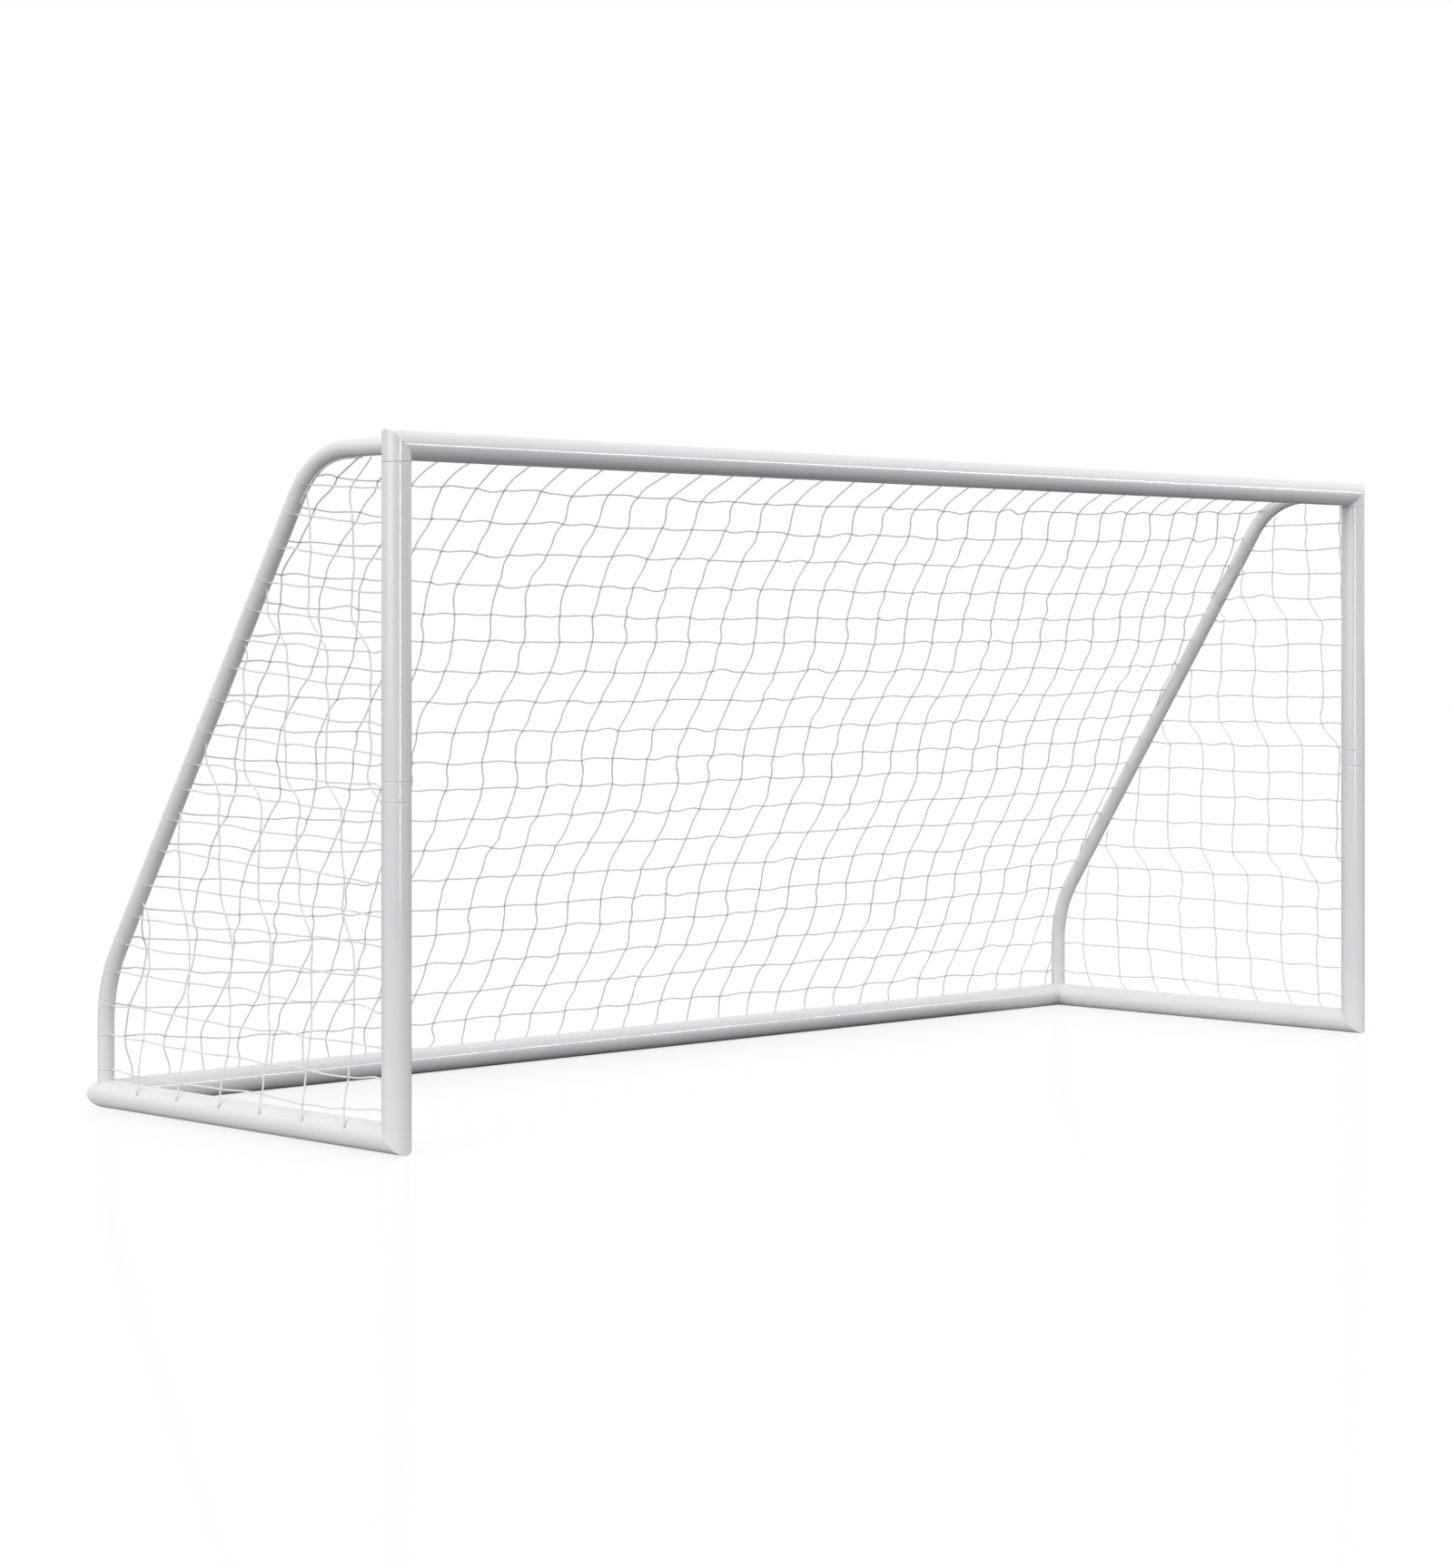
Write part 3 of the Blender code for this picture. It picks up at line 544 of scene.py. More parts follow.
RISE = 0.030 * np.exp(-((np.arange(ROWS + 1) / 2.5) ** 2))  # most at the top row
RISES = {-1.0: 0 * RISE, 1.0: RISE}
X_EDGE = HALF + PRESSED * math.cos(WRAP_END)  # where the back sheet leaves a stay
X_ARM = HALF - REACH
K_END = np.concatenate([[0, 0.2, 0.4, 0.6, 0.8], K[1:]])
run = np.concatenate([[0], np.cumsum(np.linalg.norm(np.diff(LINE, axis=0), axis=1))])
spots = np.linspace(0, run[-1], 600)
DENSE = np.stack([np.interp(spots, run, row) for row in LINE.T[1:]], axis=1)
ENDS = {}  # the back sheet's (y, z) at each stay, for the rows in K_END
for label, side in SIDES.items():
    wrap = wrap_point(side, STAY_ROWS[label][:ROWS], RISES[side][:ROWS], WRAP_END)
    arm_y = top_y + (wrap[0, 1] - top_y) * K_END[1:5]
    arm_z = np.interp(arm_y, DENSE[:, 0], DENSE[:, 1])
    ENDS[side] = (
        np.concatenate([[top_y], arm_y, wrap[:, 1], [rear_y]]),
        np.concatenate([[top_z], arm_z, wrap[:, 2], [rear_z]]),
    )
BULGE = 0.006
LEFT_REACH, LEFT_TIGHTER, RIGHT_REACH = 0.25, 0.14, 0.8


def pulled(x, k):
    """How far the sheet is drawn out to a stay: 0 in the middle, 1 at the stay, sooner on the
    right side and later near the ground on the left."""
    reach = np.where(x < 0, LEFT_REACH - LEFT_TIGHTER * np.clip((k - 12) / 5, 0, 1), RIGHT_REACH)
    return (np.cosh(x / reach) - 1) / (np.cosh(X_EDGE / reach) - 1)


def smooth(k, values):
    """Through the values at whole k, with slopes taken from their neighbours."""
    slope = np.gradient(values)
    i = np.clip(np.floor(k).astype(int), 0, len(values) - 2)
    t, step = k - i, values[i + 1] - values[i]
    bend = (1 - t) * (slope[i] - step) - t * (slope[i + 1] - step)
    return values[i] + step * t + t * (1 - t) * bend


def back_surface(x, k):
    """A point of the back: straight in the middle, a little fuller to the sides, and drawn out
    to the stays; rows change height with the square of x, and on the left with its sixth
    power."""
    y_mid, z_mid = smooth(k, mid_y), smooth(k, mid_z)
    left, right = [[np.interp(k, K_END, row) for row in ENDS[side]] for side in (-1.0, 1.0)]
    y_end, z_end = [np.where(x < 0, a, b) for a, b in zip(left, right)]
    free = np.clip(np.minimum(k, LAST - k), 0, 1)
    full = y_mid + BULGE * x * x * free
    full_end = y_mid + BULGE * X_EDGE**2 * free
    y = full + (y_end - full_end) * pulled(x, k)
    part = np.abs(x / X_EDGE)
    z = z_mid + (z_end - z_mid) * np.where(x < 0, part**6, part**2)
    return np.stack([x, y, z], axis=-1)


# %% [markdown]
# ## Twine
# A strand is a thin tube along a slightly bent line between two knots, and a knot is a small lump
# where strands cross. Curves with a round bevel would do as well, but arrays make a whole sheet
# at once. There are about two thousand strands, so each has only a few dozen faces.


# %% Make strands
def strand_mesh(curves, facing, radius, around=6):
    """Tubes along curves (n, m, 3). facing (n, 3) is roughly square to every curve."""
    n, m, _ = curves.shape
    along = unit(np.gradient(curves, axis=1))
    side = unit(np.cross(along, facing[:, None, :]))
    up = np.cross(side, along)
    turn = (np.arange(around) * 2 * np.pi / around)[:, None]
    rings = curves[:, :, None, :] + radius * (
        np.cos(turn) * side[:, :, None, :] + np.sin(turn) * up[:, :, None, :]
    )
    quads = grid_faces(m, around, False, True)[:, ::-1]
    first = np.arange(n)[:, None, None] * m * around
    faces = (first + quads[None]).reshape(-1, 4)
    head = first[:, :, 0] + np.arange(around)[None, :]
    tail = first[:, :, 0] + (m - 1) * around + np.arange(around)[None, ::-1]
    steps = np.linalg.norm(np.diff(curves, axis=1), axis=2)
    length = np.concatenate([np.zeros((n, 1)), np.cumsum(steps, axis=1)], axis=1)
    u = np.broadcast_to(length[:, :, None], (n, m, around))
    v = np.broadcast_to(np.arange(around) / around, (n, m, around))
    uvs = np.stack([u, v], -1).reshape(-1, 2)
    return rings.reshape(-1, 3), [faces, np.concatenate([head, tail])], uvs


# %% Make knots
def knot_mesh(centres, size=KNOT):
    """Small lumps of 14 points: a pole, two turned rings of six and a pole."""
    turn = np.arange(6) * np.pi / 3
    rings = [
        np.column_stack([0.85 * np.cos(turn + s), 0.85 * np.sin(turn + s), np.full(6, h)])
        for h, s in ((0.45, 0.0), (-0.45, 0.5))
    ]
    lump = np.concatenate([[[0, 0, 1]], *rings, [[0, 0, -1]]]) * size * [1.15, 1.0, 0.95]
    i = np.arange(6)
    j = (i + 1) % 6
    triangles = np.concatenate([
        np.column_stack([i * 0, 1 + i, 1 + j]),
        np.column_stack([1 + i, 7 + i, 1 + j]),
        np.column_stack([1 + j, 7 + i, 7 + j]),
        np.column_stack([i * 0 + 13, 7 + j, 7 + i]),
    ])
    points = (centres[:, None, :] + lump[None]).reshape(-1, 3)
    faces = (np.arange(len(centres))[:, None, None] * 14 + triangles[None]).reshape(-1, 3)
    return points, [faces], np.zeros((len(points), 2))


# %% Clip, bend and join strands
CURL = 0.8  # how closely a strand follows the slopes at its ends


def join_meshes(*parts):
    points, blocks, uvs, first = [], [], [], 0
    for part_points, part_blocks, part_uvs in parts:
        points.append(part_points)
        uvs.append(part_uvs)
        blocks += [block + first for block in part_blocks]
        first += len(part_points)
    return np.concatenate(points), blocks, np.concatenate(uvs)


def between(knots):
    """Strands between neighbours on the first axis: both ends and how far each end's slope,
    taken through its neighbours, is from the straight line."""
    a, b, slope = knots[:-1], knots[1:], np.gradient(knots, axis=0)
    curl = np.stack([slope[:-1] - (b - a), slope[1:] - (b - a)], axis=-2)
    return a.reshape(-1, 2), b.reshape(-1, 2), CURL * curl.reshape(-1, 2, 2)


def clip_strands(a, b, curl, inside):
    """Shorten each strand a-b, given in the sheet's own two numbers, to where inside > 0."""
    fa, fb = inside(a), inside(b)
    keep = (fa > 0) | (fb > 0)
    a, b, fa, fb = a[keep], b[keep], fa[keep], fb[keep]
    t = (fa / np.where(fa == fb, 1, fa - fb))[:, None]
    cross = a + (b - a) * t
    new_a = np.where((fa <= 0)[:, None], cross, a)
    new_b = np.where((fb <= 0)[:, None], cross, b)
    long_enough = np.abs(new_b - new_a).max(axis=1) > 0.02
    return new_a[long_enough], new_b[long_enough], curl[keep][long_enough]


def bent(place, a, b, curl, outward, slack, steps=7):
    """Strands over a sheet: a curved walk from a to b in its own two numbers, placed by the
    sheet's function, which swings a little off the line, one way and back."""
    t = np.linspace(0, 1, steps)[None, :]
    u = t[..., None]
    bend = (1 - u) * curl[:, None, 0] - u * curl[:, None, 1]
    walk = a[:, None, :] + (b - a)[:, None, :] * u + u * (1 - u) * bend
    line = place(walk[..., 0], walk[..., 1])
    facing = np.tile(outward, (len(a), 1))
    sideways = unit(np.cross(line[:, -1] - line[:, 0], facing))[:, None]
    n = len(a)
    bow = slack * rng.normal(size=(n, 1)) * np.sin(np.pi * t)
    wave = 0.7 * slack * rng.normal(size=(n, 1)) * np.sin(2 * np.pi * t)
    lift = 0.5 * slack * rng.normal(size=(n, 1)) * np.sin(np.pi * t)
    line = line + (bow + wave)[..., None] * sideways + lift[..., None] * facing[:, None]
    return strand_mesh(line, facing, TWINE)


# %% [markdown]
# ## The back of the net
# The columns lean to the right on the way down, in steps: nearly straight for a few rows, then
# aside. They spread a little, because the crossbar gathers the net more than the rear bar, and
# the meshes are wider to the right, where the sheet is drawn back to the stay. So some columns
# leave the back at the right stay, and as many come in from the left one. Each strand is
# shortened where it meets a stay, and only then placed on the sheet.


# %% Lay out the back's strands
def column_x(n, k):
    """Column n at row k: its place on the crossbar, the lean so far, and the spread. Columns
    stand closer on the left, where the net is gathered, and lean less there near the ground."""
    tuck = np.interp(n, [-9, -5, -1, 4], [-0.02, 0.025, 0.025, 0])
    tuck = np.where(k == 0, tuck, 0)
    k = np.maximum(k, 1)
    top = np.interp(n, [-24, -14, -9, -3, 26], [-3.26, -2.25, -1.745, -0.955, 3.114])
    lean = 0.0228 * k + 0.00006 * k * k - 0.014 + 0.02 * np.cos(2 * np.pi * (k - 1.6) / 5)
    wider = 0.028 * np.minimum(n + 10.5, 0) * np.clip((k - 4) / 12, 0, 1)
    return tuck + top + lean + wider + (top + 0.53) * (0.11 * k / (k + 1.3) + 0.0001 * k * k)


def opened(x, k):
    """To the right the meshes are pulled wider where the sheet is drawn back to the stay; a few
    rounds settle how wide."""
    drawn = np.interp(k, K_END, ENDS[1.0][0]) - np.interp(k, K, mid_y)
    wide = x
    for _ in range(6):
        wide = x + np.where(x > 0, 0.95 * drawn * pulled(np.clip(wide, 0, X_EDGE), k), 0)
    return wide


def inside_back(p):
    """Up to the inner edge of the stay, and beside the arm in the roof."""
    return np.where(p[:, 1] < 0.8, X_ARM, X_EDGE) - np.abs(p[:, 0])


columns, rows = np.meshgrid(np.arange(-20, 22), K, indexing="ij")
free = (rows > 0) & (rows < LAST)
knots = np.stack([
    opened(column_x(columns, rows) + rng.normal(scale=STRAY, size=rows.shape), rows),
    rows + free * rng.normal(scale=STRAY_ROWS, size=rows.shape),
], axis=-1)
level = knots[:, 1:-1]
back_facing = unit(np.array([0.0, 0.82, 0.57]))
nets = []


def net_object(name, node, *meshes):
    points, blocks, uvs = join_meshes(*meshes)
    thing = make_object(name, points, blocks, uvs, sharp=KNOT_SHARP)
    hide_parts(node)
    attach(thing, "goal")
    nets.append(thing)
    print(name, "faces:", len(thing.data.polygons))


def strands(a, b, curl):
    """Clip to the stays' inner edges and place on the back sheet."""
    return bent(back_surface, *clip_strands(a, b, curl, inside_back), back_facing, BACK_SLACK)


def cord(points, facing, radius):
    """One cord through a few points, with its middle filled in."""
    points = np.array(points, dtype=float)
    spots = np.linspace(0, len(points) - 1, 12 * (len(points) - 1) + 1)
    line = np.stack([np.interp(spots, np.arange(len(points)), row) for row in points.T], axis=1)
    return strand_mesh(line[None], np.array([facing], dtype=float), radius)


flat_knots = level.reshape(-1, 2)
flat_knots = flat_knots[inside_back(flat_knots) > 0.01]
feet = knots[:, -1, 0][np.abs(knots[:, -1, 0]) < X_EDGE - 0.03]
turn = np.radians(np.linspace(FEET_AT, HEM_AT, 3))
hooks = np.stack([  # the columns' ends, round the rear bar
    np.repeat(feet[:, None], 3, axis=1),
    np.tile(REAR + OVER_BAR * np.cos(turn), (len(feet), 1)),
    np.tile(GROUND + OVER_BAR * np.sin(turn), (len(feet), 1)),
], axis=-1)
hem_y, hem_z = on_bar(REAR, GROUND, HEM_AT)
edge = HALF - R_MAIN
down = between(knots.swapaxes(0, 1))
roof = np.arange(len(down[0])) < len(knots)
net_object(
    "net_roof_twine", "net_roof",
    strands(*[part[roof] for part in down]),
    cord([[-edge, top_y, top_z], [edge, top_y, top_z]], Z, HEM),
)
net_object(
    "net_back_twine", "net_back",
    strands(*[part[~roof] for part in down]),
    strands(*between(level)),
    knot_mesh(back_surface(*flat_knots.T)),
    strand_mesh(hooks, np.tile(X, (len(feet), 1)), TWINE),
    cord([[-edge, hem_y, hem_z], [edge, hem_y, hem_z]], Z, HEM),
)

# %% [markdown]
# ## The sides of the net
# A side net hangs from the back of the post to the stay, in the plane of their axes. Each row is
# led over the outer face of the stay to its back: on the left from the stay's inner edge, and on
# the right the sheet comes out beside the stay first. At the foot its strands come down outside
# the side bar. The sheet's two numbers are the distance behind the post and the height.


# %% Shape of a side net
POST_BACK = OVER_BAR
END_ANGLE = math.radians(30)
FOOT = GROUND + OVER_BAR * math.sin(END_ANGLE)
LED_OUT, LED_IN, BESIDE_STAY = 0.30, 0.2, 0.06  # lengths over which the sheet leaves its plane
WRAP_CORD = 0.6 * TWINE


def ease(t):
    t = np.clip(t, 0, 1)
    return t * t * (3 - 2 * t)


def side_sheet(side):
    """The side plane through the posts' and stays' axes. Above the side bar it is led out to the
    bar's outer face, but not at the post or at the stay, and beside the stay it is led out to
    where the rows start round it."""
    def place(y, z):
        lifted = np.clip((z - FOOT) / LED_OUT, 0, 1)
        at_stay = stay_at(np.clip(z, STAY_Z[0], STAY_Z[-1]))[0] - FRONT - REACH
        ends = ease((y - POST_BACK) / LED_IN) * ease((at_stay - y) / LED_IN)
        out = OVER_BAR * math.cos(END_ANGLE) * (1 - lifted) ** 1.5
        over_bar = np.sqrt(np.clip(OVER_BAR**2 - (z - GROUND) ** 2, 0, None))
        over_stay = PRESSED * math.cos(WRAP_START[side])
        over_stay = over_stay * np.clip(1 - (at_stay - y) / BESIDE_STAY, 0, 1)
        out = np.maximum(np.maximum(out * ends, over_bar), over_stay)
        return np.stack([side * (HALF + out), FRONT + y, z], axis=-1)
    return place


def column_y(label, j, k):
    """Columns step towards the post after certain rows; the left net is drawn out wider."""
    if label == "left":
        y = 0.209 + 0.204 * j + 0.001 * k * np.maximum(j - 4, 0) - 0.13 * (k == 0)
        steps = ((5, 0.086), (10, 0.067), (14, 0.056))
    else:
        y = 0.220 + 0.1605 * j + 0.0004 * k * (j - 3)
        steps = ((4, 0.065), (9, 0.065), (14, 0.065), (19, 0.026))
    return y - sum(shift * (k > after) for after, shift in steps)


def behind_post(p):
    return p[:, 0] - POST_BACK


def before_stay(p):
    """Distance to the stay's inner edge, from its axis drawn as a dense row of points."""
    place = p + [FRONT, 0]
    away = np.linalg.norm(place[:, None] - DENSE[None], axis=2).min(axis=1)
    below = np.interp(place[:, 0], DENSE[:, 0], DENSE[:, 1]) > place[:, 1]
    return np.where(below & (place[:, 0] < REAR), away, -away) - REACH


# %% Lay out the side nets
for label, side in SIDES.items():
    at_stay, at_post = STAY_ROWS[label], POST_ROWS[label]
    count = len(at_stay)
    hold = wrap_point(side, at_stay, 0, WRAP_START[side])
    stay_y, stay_z = hold[:, 1] - FRONT, hold[:, 2]
    j, k = np.meshgrid(np.arange(-1, 12), np.arange(count + 2), indexing="ij")
    y = column_y(label, j, k) + rng.normal(scale=STRAY, size=k.shape)
    slope = np.concatenate([[0], (stay_z - at_post) / (stay_y - POST_BACK), [0]])
    z = np.concatenate([[TOP], at_post, [FOOT]])[k] + slope[k] * np.clip(y - POST_BACK, 0, None)
    free = (k > 0) & (k < count + 1)
    knots = np.stack([y, z + free * rng.normal(scale=STRAY_HIGH, size=k.shape)], axis=-1)
    level = knots[:, 1:-1]
    inside = np.minimum(behind_post(level.reshape(-1, 2)), before_stay(level.reshape(-1, 2)))
    inside = (inside > 0.02).reshape(level.shape[:2])
    ends = [
        np.stack([np.full(count, POST_BACK), at_post], axis=-1)[:, None],
        np.stack([stay_y, stay_z], axis=-1)[:, None],
    ]
    lines = [
        between(np.concatenate([ends[0][r], level[inside[:, r], r], ends[1][r]]))
        for r in range(count)
    ]
    across = [np.concatenate(part) for part in zip(*lines)]
    down = clip_strands(*between(knots.swapaxes(0, 1)), behind_post)
    down = clip_strands(*down, before_stay)
    turn = np.linspace(WRAP_START[side], WRAP_END, 14)[None, :]
    wraps = wrap_point(side, at_stay[:, None], RISES[side][:count, None], turn)
    _, ny, nz = stay_at(at_stay)
    sheet = side_sheet(side)
    arm = DENSE[(DENSE[:, 0] > FRONT + 0.16) & (DENSE[:, 1] > 1.93)][::6]  # the top bend
    normal = unit(np.gradient(arm, axis=0)) @ np.array([[0.0, -1.0], [1.0, 0.0]])
    arm = arm + normal * np.where(normal[:, 1:] < 0, 1, -1) * (R_STAY + 0.002)
    meshes = [
        bent(sheet, *across, side * X, SIDE_SLACK),
        bent(sheet, *down, side * X, SIDE_SLACK),
        knot_mesh(sheet(*level[inside].T)),
        strand_mesh(wraps, np.stack([0 * ny, nz, -ny], axis=-1), WRAP_CORD),
        cord([[side * HALF, FRONT + POST_BACK, z] for z in (SEAM_TOP - 0.1, FOOT)], X, HEM),
        knot_mesh(sheet(*down[1][down[1][:, 1] < FOOT + 0.001].T), END_KNOT),
    ]
    if side < 0:
        meshes.append(cord(np.column_stack([np.full(len(arm), side * HALF), arm]), X, HEM))
    net_object("net_side_twine_" + label, "net_side_" + label, *meshes)

# %% [markdown]
# ## Finishes
# The bars are powder coated in gloss white, the sleeves, buttons and springs are bright metal and
# the nets are white twine. Fine texture is worked out from a piece's own coordinates, or along
# the cord for twine, so it stays on the piece when the piece moves.


# %% Helpers for node materials
def new_material(name):
    material = bpy.data.materials.new(name)
    material.use_nodes = True
    tree = material.node_tree
    return material, tree, tree.nodes["Principled BSDF"]


def add_node(tree, kind, **values):
    """A shader node with values for its inputs and settings."""
    node = tree.nodes.new("ShaderNode" + kind)
    for key, value in values.items():
        if key in node.inputs:
            node.inputs[key].default_value = value
        else:
            setattr(node, key, value)
    return node


def mixed(tree, first, second):
    """A colour between two."""
    node = add_node(tree, "Mix", data_type="RGBA")
    node.inputs["A"].default_value = (*first, 1)
    node.inputs["B"].default_value = (*second, 1)
    return node


def ranged(tree, low, high):
    """A number between two, from one between 0 and 1."""
    return add_node(tree, "MapRange", **{"To Min": low, "To Max": high})


def wire(tree, *links):
    """Each link is (node, output, node, input)."""
    for source, output, target, entry in links:
        tree.links.new(source.outputs[output], target.inputs[entry])


# %% White powder coat
def powder_coat():
    """A slight orange peel, and a tint and a gloss that vary a little along a bar."""
    material, tree, shader = new_material("gloss_white_powder_coat")
    shader.inputs["IOR"].default_value = 1.45
    place = add_node(tree, "TexCoord")
    peel = add_node(tree, "TexNoise", Scale=420.0, Detail=2.0, Roughness=0.4)
    cloud = add_node(tree, "TexNoise", Scale=5.0, Detail=3.0, Roughness=0.5)
    tint = mixed(tree, (0.690, 0.691, 0.706), (0.728, 0.728, 0.738))
    gloss = ranged(tree, 0.11, 0.17)
    bump = add_node(tree, "Bump", Strength=0.05, Distance=0.0006)
    wire(
        tree,
        (place, "Object", peel, "Vector"),
        (place, "Object", cloud, "Vector"),
        (cloud, "Fac", tint, "Factor"),
        (cloud, "Fac", gloss, "Value"),
        (peel, "Fac", bump, "Height"),
        (tint, "Result", shader, "Base Color"),
        (gloss, "Result", shader, "Roughness"),
        (bump, "Normal", shader, "Normal"),
    )
    return material


paint = powder_coat()
for thing in painted:
    thing.data.materials.append(paint)
print("painted pieces:", len(painted))


# %% White twine
def twine_material():
    """Fibres laid on a slant round the cord, which let some light through."""
    material, tree, shader = new_material("white_twine")
    shader.inputs["Roughness"].default_value = 0.8
    shader.inputs["Specular IOR Level"].default_value = 0.25
    place = add_node(tree, "UVMap", uv_map="UVMap")
    scale = add_node(tree, "Mapping", Scale=(260.0, 1.0, 1.0))
    lay = add_node(tree, "TexWave", wave_type="BANDS", bands_direction="DIAGONAL", Scale=1.0)
    fade = mixed(tree, (0.81, 0.81, 0.81), (0.90, 0.90, 0.895))
    bump = add_node(tree, "Bump", Strength=0.5, Distance=0.0003)
    through = add_node(tree, "BsdfTranslucent")
    fibres = add_node(tree, "MixShader", Fac=0.42)
    wire(
        tree,
        (place, "UV", scale, "Vector"),
        (scale, "Vector", lay, "Vector"),
        (lay, "Fac", fade, "Factor"),
        (lay, "Fac", bump, "Height"),
        (fade, "Result", shader, "Base Color"),
        (fade, "Result", through, "Color"),
        (bump, "Normal", shader, "Normal"),
        (shader, "BSDF", fibres, 1),
        (through, "BSDF", fibres, 2),
        (fibres, "Shader", tree.nodes["Material Output"], "Surface"),
    )
    return material


twine = twine_material()
for thing in nets:
    thing.data.materials.append(twine)


# %% Bright metal inside the joints
def metal(name, dark, light, rough, grain):
    """Metal with spangles, which differ in colour and in roughness."""
    material, tree, shader = new_material(name)
    shader.inputs["Metallic"].default_value = 1.0
    place = add_node(tree, "TexCoord")
    spangle = add_node(tree, "TexVoronoi", Scale=grain)
    fade = mixed(tree, dark, light)
    shade = ranged(tree, rough - 0.06, rough + 0.06)
    wire(
        tree,
        (place, "Object", spangle, "Vector"),
        (spangle, "Distance", fade, "Factor"),
        (spangle, "Distance", shade, "Value"),
        (fade, "Result", shader, "Base Color"),
        (shade, "Result", shader, "Roughness"),
    )
    return material


zinc = metal("zinc_plate", (0.46, 0.47, 0.50), (0.62, 0.63, 0.65), 0.38, 140.0)
steel = metal("spring_steel", (0.56, 0.56, 0.58), (0.70, 0.70, 0.72), 0.24, 900.0)
for node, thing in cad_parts.items():
    if "_sleeve_" in node:
        for slot in thing.material_slots:
            slot.material = zinc
for thing in buttons + springs:
    thing.data.materials.append(steel)

# %% [markdown]
# ## Stage, light and camera
# A white floor runs into a white background. To the camera the floor is white with a faint
# shadow and a faint mirror image. To all other light it is dark grey, so that the underside of
# each bar stays in shade, and paler beside the side bars. The world lights the goal from above,
# from the front and from the right, and wide suns, two from the left and a weak one from the
# right, round it off. Two area lamps are seen only in the gloss, where each draws the fine line
# along its tubes. A third lights the crossbar's front and is seen in no gloss.


# %% Floor
FLOOR_EDGE, FLOOR_DROP = 400.0, 0.0006
GLOW, MIRROR = 0.842, 0.085
NEAR_SIDE_BAR, PAST_SIDE_BAR = 0.2, 0.7  # from a side bar's plane: paler within, dark past


def floor_material():
    """White by its own glow with a little shadow in it, and a weak mirror over that. To other
    light it is grey, and paler near the planes of the side bars."""
    material, tree, shader = new_material("studio_floor")
    tree.nodes.remove(shader)
    glow = add_node(tree, "Emission", Strength=GLOW)
    matt = add_node(tree, "BsdfDiffuse", Color=(0.15, 0.15, 0.152, 1))
    gloss = add_node(tree, "BsdfGlossy", Color=(1, 1, 1, 1), Roughness=0.13)
    white = add_node(tree, "AddShader")
    polished = add_node(tree, "MixShader", Fac=MIRROR)
    grey = add_node(tree, "BsdfDiffuse")
    place = add_node(tree, "TexCoord")
    split = add_node(tree, "SeparateXYZ")
    aside = add_node(tree, "Math", operation="ABSOLUTE")
    beyond = add_node(tree, "Math", operation="SUBTRACT")
    beyond.inputs[1].default_value = HALF
    away = add_node(tree, "Math", operation="ABSOLUTE")
    near = add_node(tree, "MapRange", interpolation_type="SMOOTHSTEP")
    near.inputs["From Min"].default_value = PAST_SIDE_BAR
    near.inputs["From Max"].default_value = NEAR_SIDE_BAR
    shade = mixed(tree, (0.105, 0.105, 0.115), (0.43, 0.43, 0.43))
    seen = add_node(tree, "LightPath")
    shown = add_node(tree, "Math", operation="MAXIMUM")
    pick = add_node(tree, "MixShader")
    wire(
        tree,
        (place, "Object", split, "Vector"),
        (split, "X", aside, 0),
        (aside, "Value", beyond, 0),
        (beyond, "Value", away, 0),
        (away, "Value", near, "Value"),
        (near, "Result", shade, "Factor"),
        (shade, "Result", grey, "Color"),
        (glow, "Emission", white, 0),
        (matt, "BSDF", white, 1),
        (white, "Shader", polished, 1),
        (gloss, "BSDF", polished, 2),
        (seen, "Is Camera Ray", shown, 0),
        (seen, "Is Transmission Ray", shown, 1),
        (shown, "Value", pick, "Fac"),
        (grey, "BSDF", pick, 1),
        (polished, "Shader", pick, 2),
        (pick, "Shader", tree.nodes["Material Output"], "Surface"),
    )
    return material


ends = FLOOR_EDGE * np.array([[-1, -1, 0], [1, -1, 0], [1, 1, 0], [-1, 1, 0]])
floor = make_object("floor", ends - FLOOR_DROP * Z, [np.array([[0, 1, 2, 3]])], smooth=False)
floor.data.materials.append(floor_material())

# %% World
world = bpy.data.worlds.new("studio")
bpy.context.scene.world = world
world.use_nodes = True
tree = world.node_tree
light = tree.nodes["Background"]
light.inputs["Color"].default_value = (0.985, 0.985, 1.0, 1)
look = add_node(tree, "TexCoord")
split = add_node(tree, "SeparateXYZ")
wire(tree, (look, "Generated", split, "Vector"))
parts = []
for axis, strength in (("X", 0.30), ("Y", -0.785), ("Z", 0.957)):  # right, front and above
    part = add_node(tree, "Math", operation="MULTIPLY", use_clamp=True)
    part.inputs[1].default_value = strength
    wire(tree, (split, axis, part, 0))
    parts.append(part)
for first, second in ((0, 1), (2, 3)):
    total = add_node(tree, "Math", operation="ADD")
    wire(tree, (parts[first], "Value", total, 0), (parts[second], "Value", total, 1))
    parts.append(total)
white = add_node(tree, "Background", Color=(1, 1, 1, 1))
seen = add_node(tree, "LightPath")
camera_or_glossy = add_node(tree, "Math", operation="MAXIMUM")
shown = add_node(tree, "Math", operation="MAXIMUM")
pick = add_node(tree, "MixShader")
wire(
    tree,
    (total, "Value", light, "Strength"),
    (seen, "Is Camera Ray", camera_or_glossy, 0),
    (seen, "Is Glossy Ray", camera_or_glossy, 1),
    (camera_or_glossy, "Value", shown, 0),
    (seen, "Is Transmission Ray", shown, 1),
    (shown, "Value", pick, "Fac"),
    (light, "Background", pick, 1),
    (white, "Background", pick, 2),
    (pick, "Shader", tree.nodes["World Output"], "Surface"),
)


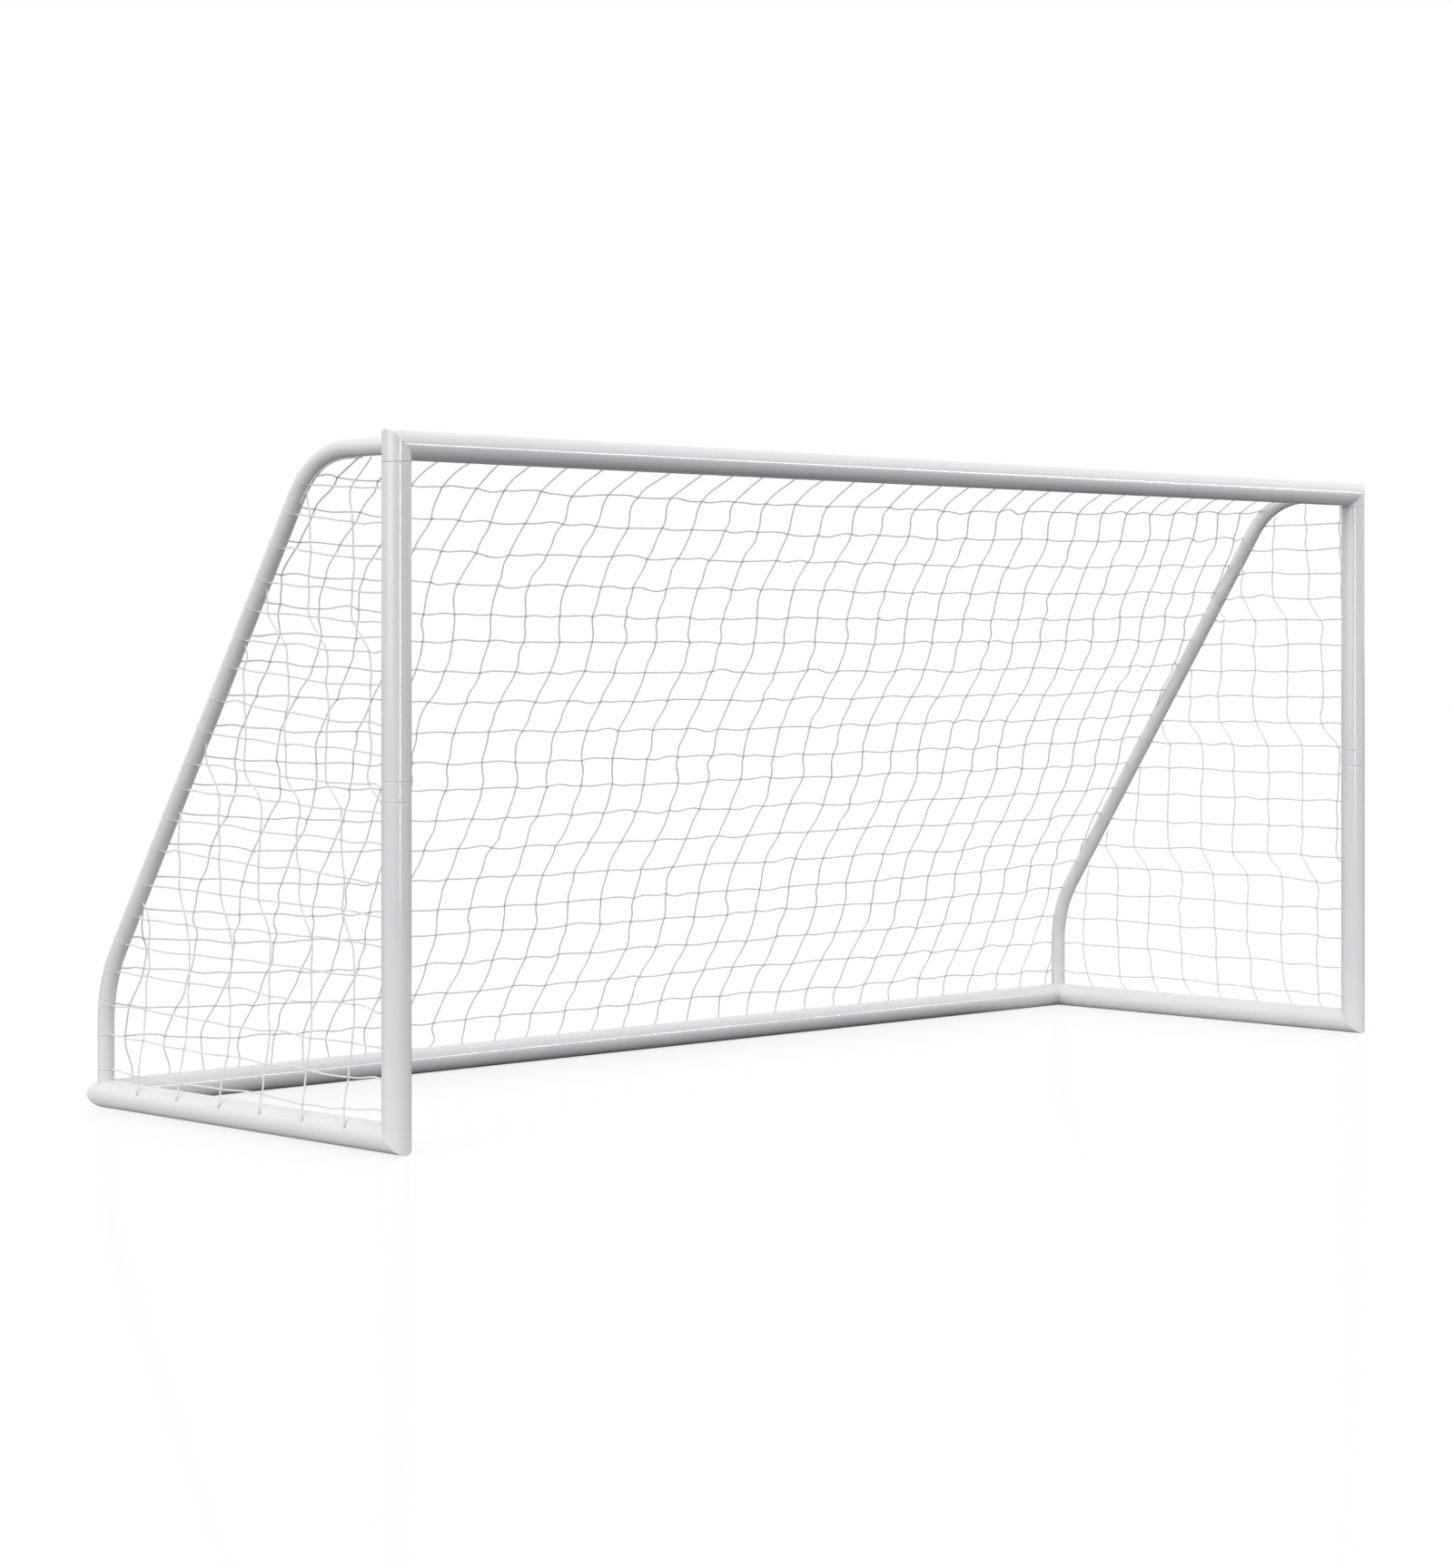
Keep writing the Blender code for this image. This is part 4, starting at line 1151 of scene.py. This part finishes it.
# %% Lamps
def aim(thing, place, target, slope=0.0):
    """Point a lamp at a target; slope tips its long side up, in radians."""
    thing.location = place
    direction = Vector(target) - Vector(place)
    turn = direction.to_track_quat("-Z", "Y") @ Quaternion((0, 0, 1), slope)
    thing.rotation_euler = turn.to_euler()
    bpy.context.scene.collection.objects.link(thing)


for name, place, spread, power in (
    ("wide_soft_light", (-9.0, 0.5, 4.5), 60, 1.10),
    ("low_soft_light", (-9.0, -1.0, 1.2), 50, 1.32),
    ("fill_light", (9.0, -3.0, 3.0), 50, 0.26),
):
    soft = bpy.data.lights.new(name, "SUN")
    soft.angle = math.radians(spread)
    soft.energy = power
    aim(bpy.data.objects.new(name, soft), place, (0, 0, 0))

for name, place, target, wide, high, power, line, slope in (
    ("line_light_for_posts", (-4.35, -10.5, 2.6), (-2.4, -0.74, 1.2), 1.0, 5.0, 300, True, 0.0),
    ("line_light_for_crossbar", (8.3, -8.5, 4.52), (8.3, -0.74, 2.0), 11.5, 0.5, 500, True, 0.16),
    ("front_light", (8.7, -8.5, 4.1), (8.7, -0.74, 2.09), 10.0, 2.0, 165, False, 0.0),
):
    strip = bpy.data.lights.new(name, "AREA")
    strip.shape = "RECTANGLE"
    strip.size, strip.size_y = wide, high
    strip.energy = power
    lamp = bpy.data.objects.new(name, strip)
    lamp.visible_diffuse, lamp.visible_glossy = not line, line
    aim(lamp, place, target, slope)

# %% Camera
SENSOR, FOCAL_PIXELS, HIGH_PIXELS = 36.0, 3872.0, 1727.0
EYE_X, EYE_Y, EYE_Z, EYE_TURN = -8.970, -8.038, 1.485, -43.77  # y from the posts
eye = bpy.data.cameras.new("camera")
eye.sensor_width = SENSOR
eye.lens = FOCAL_PIXELS * SENSOR / HIGH_PIXELS
eye.shift_x = 0.0346
eye.shift_y = -0.0853
eye.clip_end = 200.0
camera = bpy.data.objects.new("camera", eye)
camera.location = (EYE_X, EYE_Y + FRONT, EYE_Z)
camera.rotation_euler = (math.pi / 2, 0, math.radians(EYE_TURN))
bpy.context.scene.collection.objects.link(camera)
bpy.context.scene.camera = camera
bpy.context.scene.view_settings.view_transform = "Standard"
